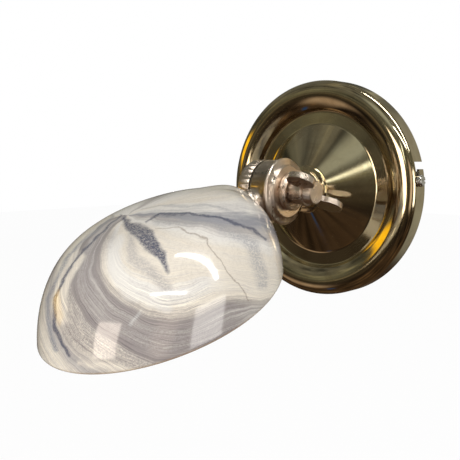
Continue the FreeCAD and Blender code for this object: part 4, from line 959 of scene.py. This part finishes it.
def makePatchGroup(shallow=0.05):
    # mask of a soft-edged strip between two directions, on its own side of the room only
    tree, given, result = newGroup(
        "roomPatch",
        [("Way", "NodeSocketVector", None), ("Centre", "NodeSocketVector", (0, -1, 0)),
         ("Along", "NodeSocketVector", (1, 0, 0)), ("Across", "NodeSocketVector", (0, 0, 1)),
         ("Half Length", "NodeSocketFloat", 0.2), ("Half Width", "NodeSocketFloat", 0.1),
         ("Softness", "NodeSocketFloat", 0.02)],
        [("Mask", "NodeSocketFloat")])
    depth = vectorOf(tree, "DOT_PRODUCT", given["Way"], given["Centre"], output="Value")
    mask = mathOf(tree, "GREATER_THAN", depth, shallow)
    for side, half in (("Along", "Half Length"), ("Across", "Half Width")):
        part = vectorOf(tree, "DOT_PRODUCT", given["Way"], given[side], output="Value")
        part = mathOf(tree, "DIVIDE", part, mathOf(tree, "MAXIMUM", depth, shallow))
        inside = stepOf(tree, mathOf(tree, "ABSOLUTE", part),
                        mathOf(tree, "SUBTRACT", given[half], given["Softness"]),
                        mathOf(tree, "ADD", given[half], given["Softness"]), 1.0, 0.0)
        mask = timesOf(tree, mask, inside)
    feed(tree, result["Mask"], mask)
    return tree


def makeRoom(walls, things):
    # a dim room that only polished surfaces see, so that they have something to mirror
    material = bpy.data.materials.new("dimRoom")
    material.use_nodes = True
    tree = material.node_tree
    tree.nodes.clear()
    way = vectorOf(tree, "NORMALIZE", objectPoint(tree))
    height = splitXyz(tree, way)["Z"]
    shade = rampOf(tree, stepOf(tree, height, -1.0, 1.0), walls["shades"])
    clutter = noiseOf(tree, scaleOf(tree, way, walls["clutterSize"]), *walls["clutter"])
    shade = mixColour(tree, 1.0, shade, rampOf(tree, clutter, walls["clutterShades"]), "MULTIPLY")
    patch = makePatchGroup()
    for start, end, half, softness, strength, colour in things.values():
        first, last = directionOf(*start), directionOf(*end)
        centre = (first + last).normalized()
        along = (last - first).normalized()
        across = centre.cross(along)
        mask = useGroup(tree, patch, **{
            "Way": way, "Centre": centre, "Along": along, "Across": across,
            "Half Length": math.tan(first.angle(last) / 2), "Half Width": half, "Softness": softness})
        bright = tuple(part * strength for part in colour)
        shade = mixColour(tree, mask["Mask"], shade, (*bright, 1))
    glow = addNode(tree, "ShaderNodeEmission")
    tree.links.new(shade, glow.inputs["Color"])
    end = addNode(tree, "ShaderNodeOutputMaterial")
    tree.links.new(glow.outputs[0], end.inputs["Surface"])
    build = bmesh.new()
    bmesh.ops.create_uvsphere(build, u_segments=walls["columns"], v_segments=walls["rows"],
                              radius=walls["radius"])
    bmesh.ops.reverse_faces(build, faces=build.faces)
    dome = pieceFrom(build, "dimRoom", material)
    for ray in ("camera", "diffuse", "shadow", "transmission", "volume_scatter"):
        setattr(dome, "visible_" + ray, False)


makeRoom(roomWalls, roomThings)


def seenStraight(tree):
    # one for what the camera, polish and glass look at, nought for what only lights a surface
    path = addNode(tree, "ShaderNodeLightPath")
    seen = mathOf(tree, "MAXIMUM", path.outputs["Is Camera Ray"], path.outputs["Is Glossy Ray"])
    return mathOf(tree, "MAXIMUM", seen, path.outputs["Is Transmission Ray"])


floorLook = {"height": -0.32, "size": 8.0, "colour": (0.9, 0.9, 0.9), "rough": 0.8, "paleness": 0.96}


def makeFloor(setup):
    material, tree, shader = newMaterial("paleFloor")
    shader.inputs["Base Color"].default_value = (*setup["colour"], 1)
    shader.inputs["Roughness"].default_value = setup["rough"]
    glow = addNode(tree, "ShaderNodeEmission")
    mix = addNode(tree, "ShaderNodeMixShader")
    feed(tree, mix.inputs[0], timesOf(tree, seenStraight(tree), setup["paleness"]))
    tree.links.new(shader.outputs[0], mix.inputs[1])
    tree.links.new(glow.outputs[0], mix.inputs[2])
    tree.links.new(mix.outputs[0], tree.nodes["Material Output"].inputs["Surface"])
    build = bmesh.new()
    bmesh.ops.create_grid(build, x_segments=1, y_segments=1, size=setup["size"] / 2)
    bmesh.ops.translate(build, verts=build.verts, vec=(0, 0, setup["height"]))
    floor = pieceFrom(build, "floor", material)
    floor.visible_glossy = False


makeFloor(floorLook)


def makeWorld(ambient=0.42):
    # white where it is looked at, and dimmer as a light
    world = bpy.data.worlds.new("studio")
    bpy.context.scene.world = world
    world.use_nodes = True
    tree = world.node_tree
    background = tree.nodes["Background"]
    background.inputs["Color"].default_value = (1, 1, 1, 1)
    extra = timesOf(tree, seenStraight(tree), 1 - ambient)
    feed(tree, background.inputs["Strength"], mathOf(tree, "ADD", extra, ambient))


makeWorld()
bpy.context.scene.view_settings.view_transform = "Standard"
print("stage made")
